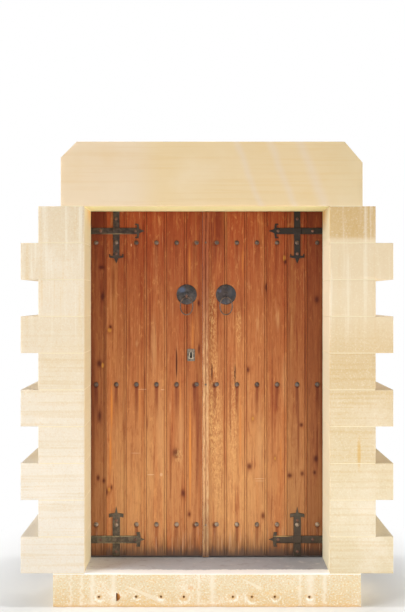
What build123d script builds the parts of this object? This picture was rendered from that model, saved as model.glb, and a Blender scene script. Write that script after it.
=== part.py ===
from build123d import *
from math import cos, radians, sin
import os

# Sizes are millimetres. X runs to the right, Y into the building and Z up.
# The origin is at the middle of the underside, and the stone face is towards -Y.

# Opening in the stone, and how the stone is rebated for the timber frame
opening_width = 1310.0
opening_height = 1960.0
wall_depth = 340.0
reveal_depth = 200.0
rebate_width = 90.0
rebate_height = 90.0

# Stones
sill_height = 180.0
sill_width = 1644.0
lintel_height = 345.0
lintel_reach_left = 781.0
lintel_reach_right = 831.0
left_clip = 85.0
right_clip_width = 96.0
right_clip_height = 112.0
course_count = 10
short_quoin = 246.0
long_quoin = 340.0
arris = 3.0
sill_hole_diameter = 14.0
sill_hole_depth = 45.0
sill_hole_sides = 12
sill_hole_height = 53.0
sill_hole_places = (-578.0, -379.0, -246.0, -124.0, 139.0, 240.0, 363.0, 547.0)
half_moon_place = -485.0
half_moon_radius = 22.0
half_moon_depth = 18.0

# How far a cutting solid runs past the face it cuts
overrun = 1.0

# Leaves
board_thickness = 28.0
board_pitch = 114.0
boards_per_leaf = 6
board_joint = 1.2
tongue_thickness = 8.0
tongue_length = 8.0
groove_play = 0.4
bead_width = 11.0
bead_crown = 0.3
bead_shoulder = 1.0
bead_drop = 2.0
quirk_width = 3.0
quirk_depth = 4.0
leaf_lap = 30.0
leaf_gap = 3.0
floor_gap = 8.0
meeting_offset = -24.0
meeting_gap = 0.6
meeting_bevel = 2.4
iron_gap = 3.0
ledge_thickness = 28.0
ledge_width = 120.0
ledge_inset = 5.0
ledge_chamfer = 5.0
bottom_row = 186.0
top_row_drop = 176.0
post_inset = 1.0

# Cover strip at the meeting of the leaves
strip_width = 34.0
strip_thickness = 11.0
strip_groove_width = 9.0
strip_groove_depth = 3.0
strip_chamfer = 2.5
strip_inset = 1.0
strip_floor_gap = 3.0
strip_nail_head = 5.5

# Studs, with square shanks turned over on the back. A head's profile is given as
# shares of its radius and of its height.
head_facets = 8
stud_radius = 12.5
stud_height = 9.0
stud_profile = ((1.0, 0.0), (0.78, 0.55), (0.36, 1.0))
nail_profile = ((1.0, 0.0), (0.5, 1.0))
shank_size = 7.0
shank_play = 0.1
tail_length = 22.0
tail_thickness = 4.0

# Cross straps
iron_thickness = 5.0
top_strap_width = 36.0
bottom_strap_width = 42.0
lap_rise = 2.5
lap_taper = 30.0
cross_drop = 110.0
cross_rise = 101.0
cross_inner_reach = 161.0
cross_free_reach = 185.0
finial_length = 44.0
finial_half_width = 41.0
top_barb_width = 14.0
top_barb_curl = 10.0
top_spike_width = 24.0
bottom_barb_width = 22.0
bottom_barb_curl = 3.0
bottom_spike_width = 15.0
barb_tip = 7.0
barb_slope = 5.0
collar_ridges = 3
collar_ridge = 5.0
collar_pitch = 9.5
collar_rise = 1.2
rivet_radius = 8.0
rivet_height = 3.5
rivet_outer = 88.0
rivet_inner = 108.0
rivet_end = 68.0
rivet_free_top = 129.0
rivet_free_bottom = 109.0

# Strap hinges on pintles
band_width = 40.0
band_reach = 345.0
eye_radius = 13.0
pin_radius = 7.0
pin_play = 0.08
eye_edge_gap = 2.0
seat_gap = 0.3
pintle_plate_width = 44.0
pintle_plate_height = 120.0
lug_height = 24.0
lug_shoulder = 1.5

# Knockers
knocker_height = 1490.0
left_knocker_place = -114.0
right_knocker_place = 109.0
plate_radius = 57.5
plate_petals = 12
plate_profile = ((1.0, 0.0), (1.0, 2.5), (0.8, 6.0), (0.45, 9.0))
boss_radius = 14.0
boss_profile = ((1.0, 6.0), (1.0, 11.0), (0.6, 13.5))
ring_half_width = 35.0
ring_half_height = 49.0
ring_end_radius = 28.0
ring_bar_radius = 4.0
ring_bar_sides = 8
ring_facets = 28
ring_stand_off = 19.0
ring_drop = 16.0
eye_play = 0.6
staple_width = 7.0
staple_bar = 5.0
staple_sides = 12

# Lock
keyhole_place = -89.0
keyhole_length = 33.0
keyhole_width = 11.0
keyhole_foot = 16.0
keyhole_waist = 2.0
escutcheon_width = 44.0
escutcheon_height = 70.0
escutcheon_thickness = 2.5
escutcheon_corner = 4.0
lip_width = 4.0
lip_height = 1.5
escutcheon_pin_radius = 3.2
escutcheon_pin_height = 1.4
escutcheon_pin_inset = 6.5
case_length = 122.0
case_height = 100.0
case_depth = 30.0
case_wall = 3.0
case_above_ledge = 45.0
case_chamfer = 1.5
case_inset = 2.0
case_flange = 12.0
case_nail_inset = 23.0
flange_nail_radius = 5.0
flange_nail_height = 2.0
lock_bolt_height = 20.0
lock_bolt_thickness = 8.0
lock_bolt_rise = 31.0
lock_bolt_set_back = 9.0
lock_bolt_throw = 24.0
bolt_tail_inset = 12.0
bolt_nose_inset = 0.5
slide_play = 0.3
keeper_length = 40.0
keeper_height = 40.0
keeper_flange = 16.0
keeper_inset = 4.0

# Shooting bolts at the top and the foot of the right leaf
bolt_place = 48.0
bolt_size = 12.0
bolt_length = 114.0
bolt_throw = 22.0
bolt_inset = 2.0
bolt_chamfer = 2.0
guide_width = 44.0
guide_length = 90.0
guide_inset = 8.0
guide_plate = 3.0
bridge_width = 10.0
bridge_inset = 4.0
bridge_thickness = 4.0
knob_place = 70.0
knob_radius = 7.5
knob_profile = ((0.66, 0.0), (0.66, 12.0), (1.0, 14.0), (0.7, 20.0))
socket_play = 0.8
socket_spare = 5.0

# Places that follow from the sizes above
face = -wall_depth / 2
back = wall_depth / 2
stop = face + reveal_depth
board_front = stop + iron_gap + iron_thickness
board_back = board_front + board_thickness
ledge_back = board_back + ledge_thickness
band_back = ledge_back + iron_thickness
post_back = ledge_back - post_inset
half_opening = opening_width / 2
rebate_x = half_opening + rebate_width
leaf_edge = half_opening + leaf_lap
post_edge = leaf_edge + leaf_gap
tread = sill_height
soffit = tread + opening_height
head_top = soffit + rebate_height
top = soffit + lintel_height
course_height = opening_height / course_count
leaf_bottom = tread + floor_gap
leaf_top = soffit + leaf_lap
head_bottom = leaf_top + leaf_gap
left_meeting = meeting_offset - meeting_gap
right_meeting = meeting_offset
rows = [tread + bottom_row, tread + opening_height / 2, soffit - top_row_drop]
columns = [board_pitch * (number + 0.5) for number in range(boards_per_leaf)]
cross_x = columns[-2]
pin_x = leaf_edge + eye_radius + eye_edge_gap
pin_y = ledge_back + eye_radius
bolt_y = board_back + guide_plate + slide_play + bolt_size / 2
socket_depth = bolt_throw + socket_spare
lock_bolt_y = board_back + case_depth - case_wall - lock_bolt_set_back
tail_guide_inset = bolt_tail_inset + lock_bolt_throw + lock_bolt_thickness
keyhole_z = rows[1] + ledge_width / 2 + case_above_ledge + case_flange + case_height / 2
lock_bolt_z = keyhole_z + lock_bolt_rise
ring_y = board_front - ring_stand_off
ring_z = tread + knocker_height - ring_drop

os.makedirs("parts", exist_ok=True)


def save(name, solid):
    """Labels a finished piece and writes it."""
    solid.label = name
    export_step(solid, f"parts/{name}.step")


def front_plane(y):
    """A plane facing the viewer at depth y, with local axes along X and Z."""
    return Plane.XZ.offset(-y)


def make_tiers(plane, radius, sides, profile):
    """A faceted head with flat faces: each tier runs between two steps of the profile, and
    a step is a share of the radius and a height above the plane."""
    angles = [radians(360 * number / sides) for number in range(sides + 1)]
    rings = []
    for share, rise in profile:
        reach = radius * share
        rings.append([plane.from_local_coords(Vector(reach * cos(a), reach * sin(a), rise)) for a in angles])
    faces = [Face(Wire.make_polygon(ring[:-1])) for ring in (rings[0], rings[-1])]
    for low, high in zip(rings, rings[1:]):
        for number in range(sides):
            corners = (low[number], low[number + 1], high[number + 1], high[number])
            faces.append(Face(Wire.make_polygon(corners)))
    return Solid(Shell(faces))


# Stones

def make_quoin(side, number):
    """One L-shaped quoin. Number 1 is under the lintel, and even ones are long."""
    reach = short_quoin if number % 2 else long_quoin
    inner = side * half_opening
    outer = side * (half_opening + reach)
    with BuildPart() as stone:
        with BuildSketch(Plane.XY.offset(tread + (course_count - number) * course_height)):
            Polygon(
                (inner, face),
                (outer, face),
                (outer, back),
                (side * rebate_x, back),
                (side * rebate_x, stop),
                (inner, stop),
                align=None,
            )
        extrude(amount=course_height)
        front = stone.faces().sort_by(Axis.Y)[0]
        jamb = stone.faces().filter_by(Axis.X).sort_by(Axis.X)[0 if side > 0 else -1]
        chamfer(front.edges() + jamb.edges().filter_by(Axis.Y), arris)
    return stone.part


def make_lintel():
    """The lintel stone, clipped at its upper corners and rebated behind for the frame."""
    with BuildPart() as stone:
        with BuildSketch(front_plane(face)):
            Polygon(
                (-lintel_reach_left, soffit),
                (lintel_reach_right, soffit),
                (lintel_reach_right, top - right_clip_height),
                (lintel_reach_right - right_clip_width, top),
                (-lintel_reach_left + left_clip, top),
                (-lintel_reach_left, top - left_clip),
                align=None,
            )
        extrude(amount=-wall_depth)
        with BuildSketch(front_plane(stop)):
            with Locations((0, soffit + rebate_height / 2)):
                Rectangle(2 * rebate_x, rebate_height)
        extrude(amount=-(back - stop), mode=Mode.SUBTRACT)
        chamfer(stone.faces().sort_by(Axis.Y)[0].edges(), arris)
    return stone.part


def make_threshold():
    """The sill stone, with blind holes in its face and a socket for the bottom bolt."""
    with BuildPart() as stone:
        with BuildSketch():
            Rectangle(sill_width, wall_depth)
        extrude(amount=sill_height)
        chamfer(stone.faces().sort_by(Axis.Y)[0].edges(), arris)
        with BuildSketch(front_plane(face)):
            with Locations(*[(x, sill_hole_height) for x in sill_hole_places]):
                RegularPolygon(sill_hole_diameter / 2, sill_hole_sides)
        extrude(amount=-sill_hole_depth, mode=Mode.SUBTRACT)
        with BuildSketch(front_plane(face)):
            with Locations((half_moon_place, sill_hole_height)):
                Circle(half_moon_radius)
                with Locations((-half_moon_radius, 0)):
                    Rectangle(2 * half_moon_radius, 2 * half_moon_radius, mode=Mode.SUBTRACT)
        extrude(amount=-half_moon_depth, mode=Mode.SUBTRACT)
        with BuildSketch(Plane.XY.offset(tread)):
            with Locations((bolt_place, bolt_y)):
                Rectangle(bolt_size + 2 * socket_play, bolt_size + 2 * socket_play)
        extrude(amount=-socket_depth, mode=Mode.SUBTRACT)
    return stone.part


# Timber frame

def make_post(side):
    """A frame post in the stone rebate, standing on the threshold."""
    width = rebate_x - post_edge
    with BuildPart() as post:
        with BuildSketch(Plane.XY.offset(tread)):
            with Locations((side * (post_edge + width / 2), (stop + post_back) / 2)):
                Rectangle(width, post_back - stop)
        extrude(amount=head_bottom - tread)
        inner = post.faces().filter_by(Axis.X).sort_by(Axis.X)[0 if side > 0 else -1]
        chamfer(inner.edges().filter_by(Axis.Z).sort_by(Axis.Y)[-1], ledge_chamfer)
    return post.part


def make_head():
    """The frame head, resting on both posts, with a socket for the top bolt."""
    with BuildPart() as head:
        with BuildSketch(Plane.XY.offset(head_bottom)):
            with Locations((0, (stop + post_back) / 2)):
                Rectangle(2 * rebate_x, post_back - stop)
        extrude(amount=head_top - head_bottom)
        with BuildSketch(Plane.XY.offset(head_bottom)):
            with Locations((bolt_place, bolt_y)):
                Rectangle(bolt_size + 2 * socket_play, bolt_size + 2 * socket_play)
        extrude(amount=socket_depth, mode=Mode.SUBTRACT)
    return head.part


def hinge_rows():
    """The heights at which each leaf hangs: its bottom and its top ledge."""
    return [rows[0], rows[-1]]


def make_pintles(side):
    """Two pintles: a plate on the post's back, a lug, and the pin the hinge eye drops on."""
    middle = side * pin_x
    with BuildPart() as pintles:
        for row in hinge_rows():
            seat = row - band_width / 2 - seat_gap
            inner = pin_x - eye_radius + iron_thickness
            centre = side * (inner + pintle_plate_width / 2)
            with BuildSketch(front_plane(post_back)):
                with Locations((centre, seat - pintle_plate_height / 2)):
                    plate = Rectangle(pintle_plate_width, pintle_plate_height)
                chamfer(plate.vertices().group_by(Axis.Z)[0], 2 * iron_thickness)
            extrude(amount=-iron_thickness)
            lug = pin_radius + lug_shoulder
            with BuildSketch(Plane.XY.offset(seat - lug_height)):
                with Locations((middle, (post_back + pin_y + lug) / 2)):
                    Rectangle(2 * lug, pin_y + lug - post_back)
            extrude(amount=lug_height)
            with BuildSketch(Plane.XY.offset(seat)):
                with Locations((middle, pin_y)):
                    Circle(pin_radius)
            extrude(amount=band_width + iron_thickness)
    return pintles.part


# Leaves

def leaf_span(side):
    """The X range of a leaf, from its lower to its higher edge."""
    return (-leaf_edge, left_meeting) if side < 0 else (right_meeting, leaf_edge)


def board_span(side, number):
    """The X range of a board. Number 1 is at the hinge edge and 6 at the meeting edge."""
    low, high = leaf_span(side)
    outer = (boards_per_leaf + 1 - number) * board_pitch
    inner = outer - board_pitch
    near = board_joint / 2
    if side < 0:
        left = low if number == 1 else -outer + near
        right = high if number == boards_per_leaf else -inner - near
    else:
        left = low if number == boards_per_leaf else inner + near
        right = high if number == 1 else outer - near
    return left, right


def board_profile(left, right, grooved, tongued, bevel):
    """Draws a board's plan: a groove on its left, and a bead and a tongue on its right.
    A plain edge leans inwards to the back by the bevel, so that it clears the other leaf."""
    middle = (board_front + board_back) / 2
    half = tongue_thickness / 2
    wide = half + groove_play / 2
    deep = tongue_length + 2 * groove_play + board_joint
    with BuildLine() as outline:
        if tongued:
            bead = right - bead_width
            Polyline(
                (left, board_front),
                (bead - quirk_width, board_front),
                (bead - quirk_width / 3, board_front + quirk_depth),
                (bead, board_front + bead_shoulder),
            )
            ThreePointArc(
                (bead, board_front + bead_shoulder),
                (bead + bead_width / 2, board_front + bead_crown),
                (right, board_front + bead_drop),
            )
            Polyline(
                (right, board_front + bead_drop),
                (right, middle - half),
                (right + tongue_length, middle - half),
                (right + tongue_length, middle + half),
                (right, middle + half),
                (right, board_back),
            )
        else:
            Polyline((left, board_front), (right, board_front), (right - bevel, board_back))
        back_right = right if tongued else right - bevel
        if grooved:
            Polyline(
                (back_right, board_back),
                (left, board_back),
                (left, middle + wide),
                (left + deep, middle + wide),
                (left + deep, middle - wide),
                (left, middle - wide),
                (left, board_front),
            )
        else:
            Polyline((back_right, board_back), (left + bevel, board_back), (left, board_front))
    make_face(outline.edges())


def keyhole_sketch():
    """Draws the keyhole: a round head and a slot that widens to its foot."""
    radius = keyhole_width / 2
    head = keyhole_z + keyhole_length / 2 - radius
    foot = keyhole_z - keyhole_length / 2
    with Locations((keyhole_place, head)):
        Circle(radius)
    Polygon(
        (keyhole_place - radius, head),
        (keyhole_place - radius, keyhole_z - keyhole_waist),
        (keyhole_place - keyhole_foot / 2, foot),
        (keyhole_place + keyhole_foot / 2, foot),
        (keyhole_place + radius, keyhole_z - keyhole_waist),
        (keyhole_place + radius, head),
        align=None,
    )


def shank_holes(places, start, depth):
    """Square bars, at X and Z places, that cut nail holes through a layer of this depth."""
    with BuildPart() as holes:
        with BuildSketch(front_plane(start - overrun)):
            with Locations(*places):
                Rectangle(shank_size + 2 * shank_play, shank_size + 2 * shank_play)
        extrude(amount=-depth - 2 * overrun)
    return holes.part


def make_board(side, number):
    """One tongued and grooved board, holed for its studs."""
    left, right = board_span(side, number)
    grooved = number != (1 if side < 0 else boards_per_leaf)
    tongued = number != (boards_per_leaf if side < 0 else 1)
    bevel = meeting_bevel if number == boards_per_leaf else 0.0
    column = side * columns[boards_per_leaf - number]
    with BuildPart() as board:
        with BuildSketch(Plane.XY.offset(leaf_bottom)):
            board_profile(left, right, grooved, tongued, bevel)
        extrude(amount=leaf_top - leaf_bottom)
        held = [column]
        if side > 0 and number == boards_per_leaf:
            held.append(strip_middle())
        places = [(x, row) for x in held for row in rows]
        knocker = left_knocker_place if side < 0 else right_knocker_place
        if left - board_joint - shank_size < knocker < right + board_joint + shank_size:
            places.append((knocker, ring_z))
        add(shank_holes(places, board_front, board_thickness), mode=Mode.SUBTRACT)
        if side < 0 and number == boards_per_leaf:
            with BuildSketch(front_plane(board_front - overrun)):
                keyhole_sketch()
            extrude(amount=-board_thickness - 2 * overrun, mode=Mode.SUBTRACT)
    return board.part


def make_ledges(side):
    """The three ledges across the back of a leaf, with the studs' holes."""
    low, high = leaf_span(side)
    left = low + ledge_inset
    right = high - ledge_inset
    with BuildPart() as ledges:
        with BuildSketch(front_plane(board_back)):
            with Locations(*[((left + right) / 2, row) for row in rows]):
                Rectangle(right - left, ledge_width)
        extrude(amount=-ledge_thickness)
        rear = ledges.faces().filter_by(Axis.Y).group_by(Axis.Y)[-1]
        chamfer(rear.edges(), ledge_chamfer)
        held = [side * column for column in columns]
        if side > 0:
            held.append(strip_middle())
        places = [(x, row) for x in held for row in rows]
        add(shank_holes(places, board_back, ledge_thickness), mode=Mode.SUBTRACT)
    return ledges.part


def strip_middle():
    """The X of the cover strip's centre line: it starts flush with the right leaf's edge."""
    return right_meeting + strip_inset + strip_width / 2


def make_meeting_strip():
    """The grooved cover strip on the right leaf's meeting edge."""
    left = strip_middle() - strip_width / 2
    right = left + strip_width
    front = board_front - strip_thickness
    with BuildPart() as strip:
        with BuildSketch(Plane.XY.offset(tread + strip_floor_gap)):
            Polygon(
                (left, board_front),
                (left, front + strip_chamfer),
                (left + strip_chamfer, front),
                (strip_middle() - strip_groove_width / 2, front),
                (strip_middle() - strip_groove_width / 4, front + strip_groove_depth),
                (strip_middle() + strip_groove_width / 4, front + strip_groove_depth),
                (strip_middle() + strip_groove_width / 2, front),
                (right - strip_chamfer, front),
                (right, front + strip_chamfer),
                (right, board_front),
                align=None,
            )
        extrude(amount=opening_height - strip_floor_gap - iron_gap)
        places = [(strip_middle(), row) for row in rows]
        add(shank_holes(places, front, strip_thickness), mode=Mode.SUBTRACT)
    return strip.part


# Studs

def make_shank(seat, clench):
    """A square shank from its seat to the back, with its tail bent down there."""
    with BuildPart(mode=Mode.PRIVATE) as shank:
        with BuildSketch(front_plane(seat)):
            Rectangle(shank_size, shank_size)
        extrude(amount=-(clench - seat))
        with BuildSketch(front_plane(clench)):
            with Locations((0, (shank_size - tail_length) / 2)):
                Rectangle(shank_size, tail_length)
        extrude(amount=-tail_thickness)
    return shank.part


def make_stud(seat, clench, radius, height):
    """A forged stud: a faceted head on its seat, and a clenched shank."""
    profile = [(share, rise * height) for share, rise in stud_profile]
    with BuildPart(mode=Mode.PRIVATE) as stud:
        add(make_tiers(front_plane(seat), radius, head_facets, profile))
        add(make_shank(seat, clench))
    return stud.part


def make_studs(side):
    """All studs of a leaf. They clench over the hinge bands where those lie behind them."""
    groups = {}
    for row in rows:
        for column in columns:
            on_cross = row in hinge_rows() and column == cross_x
            on_band = row in hinge_rows() and column > band_reach + finial_length
            seat = board_front - iron_thickness if on_cross else board_front
            clench = band_back if on_band else ledge_back
            groups.setdefault((seat, clench), []).append((side * column, 0, row))
    with BuildPart() as studs:
        for (seat, clench), places in groups.items():
            stud = make_stud(seat, clench, stud_radius, stud_height)
            with Locations(*places):
                add(stud)
        if side > 0:
            front = board_front - strip_thickness
            nail = make_stud(front, ledge_back, strip_nail_head, strip_groove_depth)
            with Locations(*[(strip_middle(), 0, row) for row in rows]):
                add(nail)
    return studs.part


# Iron on the front

def make_finial(up, half_width):
    """The outline of a barbed spear end that points along local +X from an arm's end. The
    barbs hook back on the upper crosses and are nearly square on the lower ones."""
    reach = top_barb_width if up < 0 else bottom_barb_width
    curl = top_barb_curl if up < 0 else bottom_barb_curl
    spike = (top_spike_width if up < 0 else bottom_spike_width) / 2
    barb = finial_half_width
    with BuildSketch(mode=Mode.PRIVATE) as sketch:
        with BuildLine():
            Polyline(
                (-overrun, half_width),
                (0.0, half_width),
                (0.0, barb - barb_tip),
                (-curl, barb - barb_tip),
                (-curl, barb),
                (reach - barb_slope, barb),
                (reach, spike),
                (finial_length, 0.0),
            )
            mirror(about=Plane.XZ)
            Line((-overrun, half_width), (-overrun, -half_width))
        make_face()
    return sketch.sketch


def rivet_places(side, centre, up):
    """X and Z of the rivets on a cross, with the free end of its upright towards up."""
    free = rivet_free_top if up < 0 else rivet_free_bottom
    return [
        (side * (cross_x + rivet_outer), centre),
        (side * (cross_x - rivet_inner), centre),
        (side * cross_x, centre + up * free),
        (side * cross_x, centre - up * rivet_end),
    ]


def make_cross(side, centre, up, width):
    """One cross strap: an arm to the leaf's edge, an upright, barbed ends, a lap and rivets."""
    half = width / 2
    leaf_end = leaf_top if up < 0 else leaf_bottom
    arm_out = leaf_edge - cross_x
    with BuildPart() as cross:
        with BuildSketch(front_plane(board_front)):
            with Locations((side * (cross_x + (arm_out - cross_inner_reach + finial_length) / 2), centre)):
                Rectangle(arm_out + cross_inner_reach - finial_length, width)
            free = centre + up * (cross_free_reach - finial_length)
            with Locations((side * cross_x, (free + leaf_end) / 2)):
                Rectangle(width, abs(free - leaf_end))
            inner = side * (cross_x - cross_inner_reach + finial_length)
            with Locations(Location((inner, centre), 180.0 if side > 0 else 0.0)):
                add(make_finial(up, half))
            with Locations(Location((side * cross_x, free), 90.0 * up)):
                add(make_finial(up, half))
        extrude(amount=iron_thickness)
        with BuildSketch(front_plane(board_front - iron_thickness)):
            with Locations((side * cross_x, centre)):
                Rectangle(width + 2 * iron_thickness, width)
        extrude(amount=lap_rise, taper=lap_taper)
        places = [(side * cross_x, row) for row in hinge_rows()]
        add(shank_holes(places, board_front - iron_thickness, iron_thickness), mode=Mode.SUBTRACT)
        rivet = make_rivet()
        with Locations(*[(x, 0, z) for x, z in rivet_places(side, centre, up)]):
            add(rivet)
        if side < 0 and up < 0:
            add(make_collar(side, centre, half))
    return cross.part


def make_collar(side, centre, half_width):
    """The ridges hammered across an upright, just under the crossing."""
    first = centre - half_width - collar_pitch / 2
    heights = [first - number * collar_pitch for number in range(collar_ridges)]
    with BuildPart(mode=Mode.PRIVATE) as collar:
        with BuildSketch(front_plane(board_front - iron_thickness)):
            with Locations(*[(side * cross_x, height) for height in heights]):
                Rectangle(2 * (half_width + collar_rise), collar_ridge)
        extrude(amount=collar_rise)
        extrude(collar.faces().sort_by(Axis.Y)[-collar_ridges:], amount=iron_thickness)
    return collar.part


def make_rivet():
    """A faceted rivet head on the straps."""
    profile = [(share, rise * rivet_height) for share, rise in nail_profile]
    return make_tiers(front_plane(board_front - iron_thickness), rivet_radius, head_facets, profile)


def make_cross_straps(side):
    """The two cross straps of a leaf."""
    upper = make_cross(side, soffit - cross_drop, -1, top_strap_width)
    lower = make_cross(side, tread + cross_rise, 1, bottom_strap_width)
    with BuildPart() as straps:
        add(upper)
        add(lower)
    return straps.part


def make_knocker_plate(place):
    """A domed plate with a boss, and the clenched staple that holds the ring."""
    front = Plane(origin=(place, board_front, tread + knocker_height), x_dir=(1, 0, 0), z_dir=(0, -1, 0))
    eye = ring_bar_radius + eye_play
    with BuildPart() as plate:
        add(make_tiers(front, plate_radius, 2 * plate_petals, plate_profile))
        add(make_tiers(front, boss_radius, plate_petals, boss_profile))
        with BuildSketch(Plane.YZ.offset(place - staple_width / 2)):
            with Locations((ring_y, ring_z)):
                RegularPolygon(eye + staple_bar, staple_sides, major_radius=False)
            with Locations(((ring_y + board_front) / 2, ring_z)):
                Rectangle(board_front - ring_y, 2 * staple_bar)
            with Locations((ring_y, ring_z)):
                RegularPolygon(eye, staple_sides, major_radius=False, mode=Mode.SUBTRACT)
        extrude(amount=staple_width)
        with Locations((place, 0, ring_z)):
            add(make_shank(board_front, board_back))
    return plate.part


def make_ring(place):
    """The oval ring: an eight-sided bar, hammered flat by flat around four tangent arcs."""
    end_centre = ring_half_height - ring_end_radius
    side_radius = oval_side_radius()
    turn = oval_turn()
    centre = Plane(origin=(place, ring_y, ring_z - ring_half_height), x_dir=(1, 0, 0), z_dir=(0, -1, 0))
    with BuildLine(centre) as oval:
        CenterArc((0, end_centre), ring_end_radius, turn, 180 - 2 * turn)
        CenterArc((side_radius - ring_half_width, 0), side_radius, 180 - turn, 2 * turn)
        CenterArc((0, -end_centre), ring_end_radius, 180 + turn, 180 - 2 * turn)
        CenterArc((ring_half_width - side_radius, 0), side_radius, -turn, 2 * turn)
    around = oval.wires()[0]
    corners = [around @ ((number + 0.5) / ring_facets) for number in range(ring_facets)]
    middle = (corners[-1] + corners[0]) / 2
    with BuildPart() as ring:
        with BuildLine() as path:
            Polyline(middle, *corners, middle)
        with BuildSketch(Plane(origin=middle, x_dir=(0, 1, 0), z_dir=corners[0] - middle)):
            RegularPolygon(ring_bar_radius, ring_bar_sides)
        sweep(path=path.wires()[0], transition=Transition.RIGHT)
    return ring.part


def oval_side_radius():
    """The radius of the ring's side arcs, which makes them tangent to its end arcs."""
    rise = ring_half_height - ring_end_radius
    squares = ring_half_width**2 + rise**2 - ring_end_radius**2
    return squares / (2 * (ring_half_width - ring_end_radius))


def oval_turn():
    """Half the angle of a side arc."""
    side_centre = oval_side_radius() - ring_half_width
    return Vector(side_centre, ring_half_height - ring_end_radius).get_angle(Vector(1, 0))


# Hinges and lock

def make_bands(side):
    """Two strap hinges on the ledges' backs, each with an eye rolled at its end."""
    with BuildPart() as bands:
        for row in hinge_rows():
            start = side * pin_x
            shoulder = side * (band_reach + finial_length)
            with BuildSketch(front_plane(ledge_back)):
                with Locations(((start + shoulder) / 2, row)):
                    Rectangle(abs(start - shoulder), band_width)
                with Locations((shoulder, row)):
                    Polygon(
                        (0.0, band_width / 2),
                        (-side * finial_length / 2, band_width / 3),
                        (-side * finial_length, 0.0),
                        (-side * finial_length / 2, -band_width / 3),
                        (0.0, -band_width / 2),
                        align=None,
                    )
            extrude(amount=-iron_thickness)
            with BuildSketch(Plane.XY.offset(row - band_width / 2)):
                with Locations((start, pin_y)):
                    Circle(eye_radius)
            extrude(amount=band_width)
            with BuildSketch(Plane.XY.offset(row - band_width / 2)):
                with Locations((start, pin_y)):
                    Circle(pin_radius + pin_play)
            extrude(amount=band_width, mode=Mode.SUBTRACT)
        held = [column for column in columns if column > band_reach + finial_length]
        places = [(side * column, row) for column in held for row in hinge_rows()]
        add(shank_holes(places, ledge_back, iron_thickness), mode=Mode.SUBTRACT)
    return bands.part


def make_escutcheon():
    """The keyhole plate, with a raised lip around the keyhole and two pins."""
    with BuildPart() as plate:
        with BuildSketch(front_plane(board_front)):
            with Locations((keyhole_place, keyhole_z)):
                plate_outline = Rectangle(escutcheon_width, escutcheon_height)
            chamfer(plate_outline.vertices(), escutcheon_corner)
        extrude(amount=escutcheon_thickness)
        with BuildSketch(front_plane(board_front - escutcheon_thickness)):
            keyhole_sketch()
            offset(amount=lip_width, kind=Kind.INTERSECTION)
        extrude(amount=lip_height)
        with BuildSketch(front_plane(board_front)):
            keyhole_sketch()
        extrude(amount=escutcheon_thickness + lip_height, mode=Mode.SUBTRACT)
        pin = make_escutcheon_pin()
        reach = escutcheon_height / 2 - escutcheon_pin_inset
        with Locations(*[(keyhole_place, 0, keyhole_z + end * reach) for end in (-1, 1)]):
            add(pin)
    return plate.part


def make_escutcheon_pin():
    """A small pin head on the keyhole plate."""
    seat = front_plane(board_front - escutcheon_thickness)
    profile = [(share, rise * escutcheon_pin_height) for share, rise in nail_profile]
    return make_tiers(seat, escutcheon_pin_radius, head_facets, profile)


def case_span():
    """The lock case's X range: it ends flush with the leaf's ledges at the meeting edge."""
    high = left_meeting - case_inset
    return high - case_length, high


def make_lock_case():
    """The rim lock's case: a shell open to the boards, with flanges and a keyhole."""
    low, high = case_span()
    middle = (low + high) / 2
    with BuildPart() as case:
        with BuildSketch(front_plane(board_back)):
            with Locations((middle, keyhole_z)):
                Rectangle(case_length, case_height)
        extrude(amount=-case_depth)
        rear = case.faces().filter_by(Axis.Y).sort_by(Axis.Y)[-1]
        chamfer(rear.edges(), case_chamfer)
        with BuildSketch(front_plane(board_back)):
            with Locations((middle, keyhole_z)):
                Rectangle(case_length - 2 * case_wall, case_height - 2 * case_wall)
        extrude(amount=-(case_depth - case_wall), mode=Mode.SUBTRACT)
        with BuildSketch(front_plane(board_back)):
            with Locations((middle, keyhole_z)):
                Rectangle(case_length - 2 * case_flange, case_height + 2 * case_flange)
                Rectangle(case_length, case_height - case_wall, mode=Mode.SUBTRACT)
        extrude(amount=-case_wall)
        with BuildSketch(front_plane(board_back)):
            with Locations((low + tail_guide_inset, lock_bolt_z)):
                Rectangle(case_wall, lock_bolt_height + 4 * case_wall)
        extrude(amount=-case_depth + case_wall)
        with BuildSketch(Plane.YZ.offset(low + case_wall)):
            with Locations((lock_bolt_y, lock_bolt_z)):
                Rectangle(lock_bolt_thickness + 2 * slide_play, lock_bolt_height + 2 * slide_play)
        extrude(amount=case_length, mode=Mode.SUBTRACT)
        with BuildSketch(front_plane(board_back)):
            keyhole_sketch()
        extrude(amount=-case_depth - overrun, mode=Mode.SUBTRACT)
        along = case_length / 2 - case_nail_inset
        rise = (case_height + case_flange) / 2
        nail = make_flange_nail()
        with Locations(*[(middle + x, 0, keyhole_z + z) for x in (-along, along) for z in (-rise, rise)]):
            add(nail)
    return case.part


def make_flange_nail():
    """A faceted nail head on the lock's flange."""
    seat = Plane(origin=(0, board_back + case_wall, 0), x_dir=(1, 0, 0), z_dir=(0, 1, 0))
    profile = [(share, rise * flange_nail_height) for share, rise in nail_profile]
    return make_tiers(seat, flange_nail_radius, head_facets, profile)


def make_lock_bolt():
    """The lock's bolt, drawn back, with the notch that the key turns it by."""
    low, high = case_span()
    tail = low + bolt_tail_inset
    nose = high - bolt_nose_inset
    with BuildPart() as bolt:
        with BuildSketch(front_plane(lock_bolt_y - lock_bolt_thickness / 2)):
            with Locations(((tail + nose) / 2, lock_bolt_z)):
                Rectangle(nose - tail, lock_bolt_height)
            with Locations((keyhole_place, lock_bolt_z - lock_bolt_height / 2)):
                Rectangle(keyhole_foot, lock_bolt_height / 2, mode=Mode.SUBTRACT)
        extrude(amount=-lock_bolt_thickness)
    return bolt.part


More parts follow.
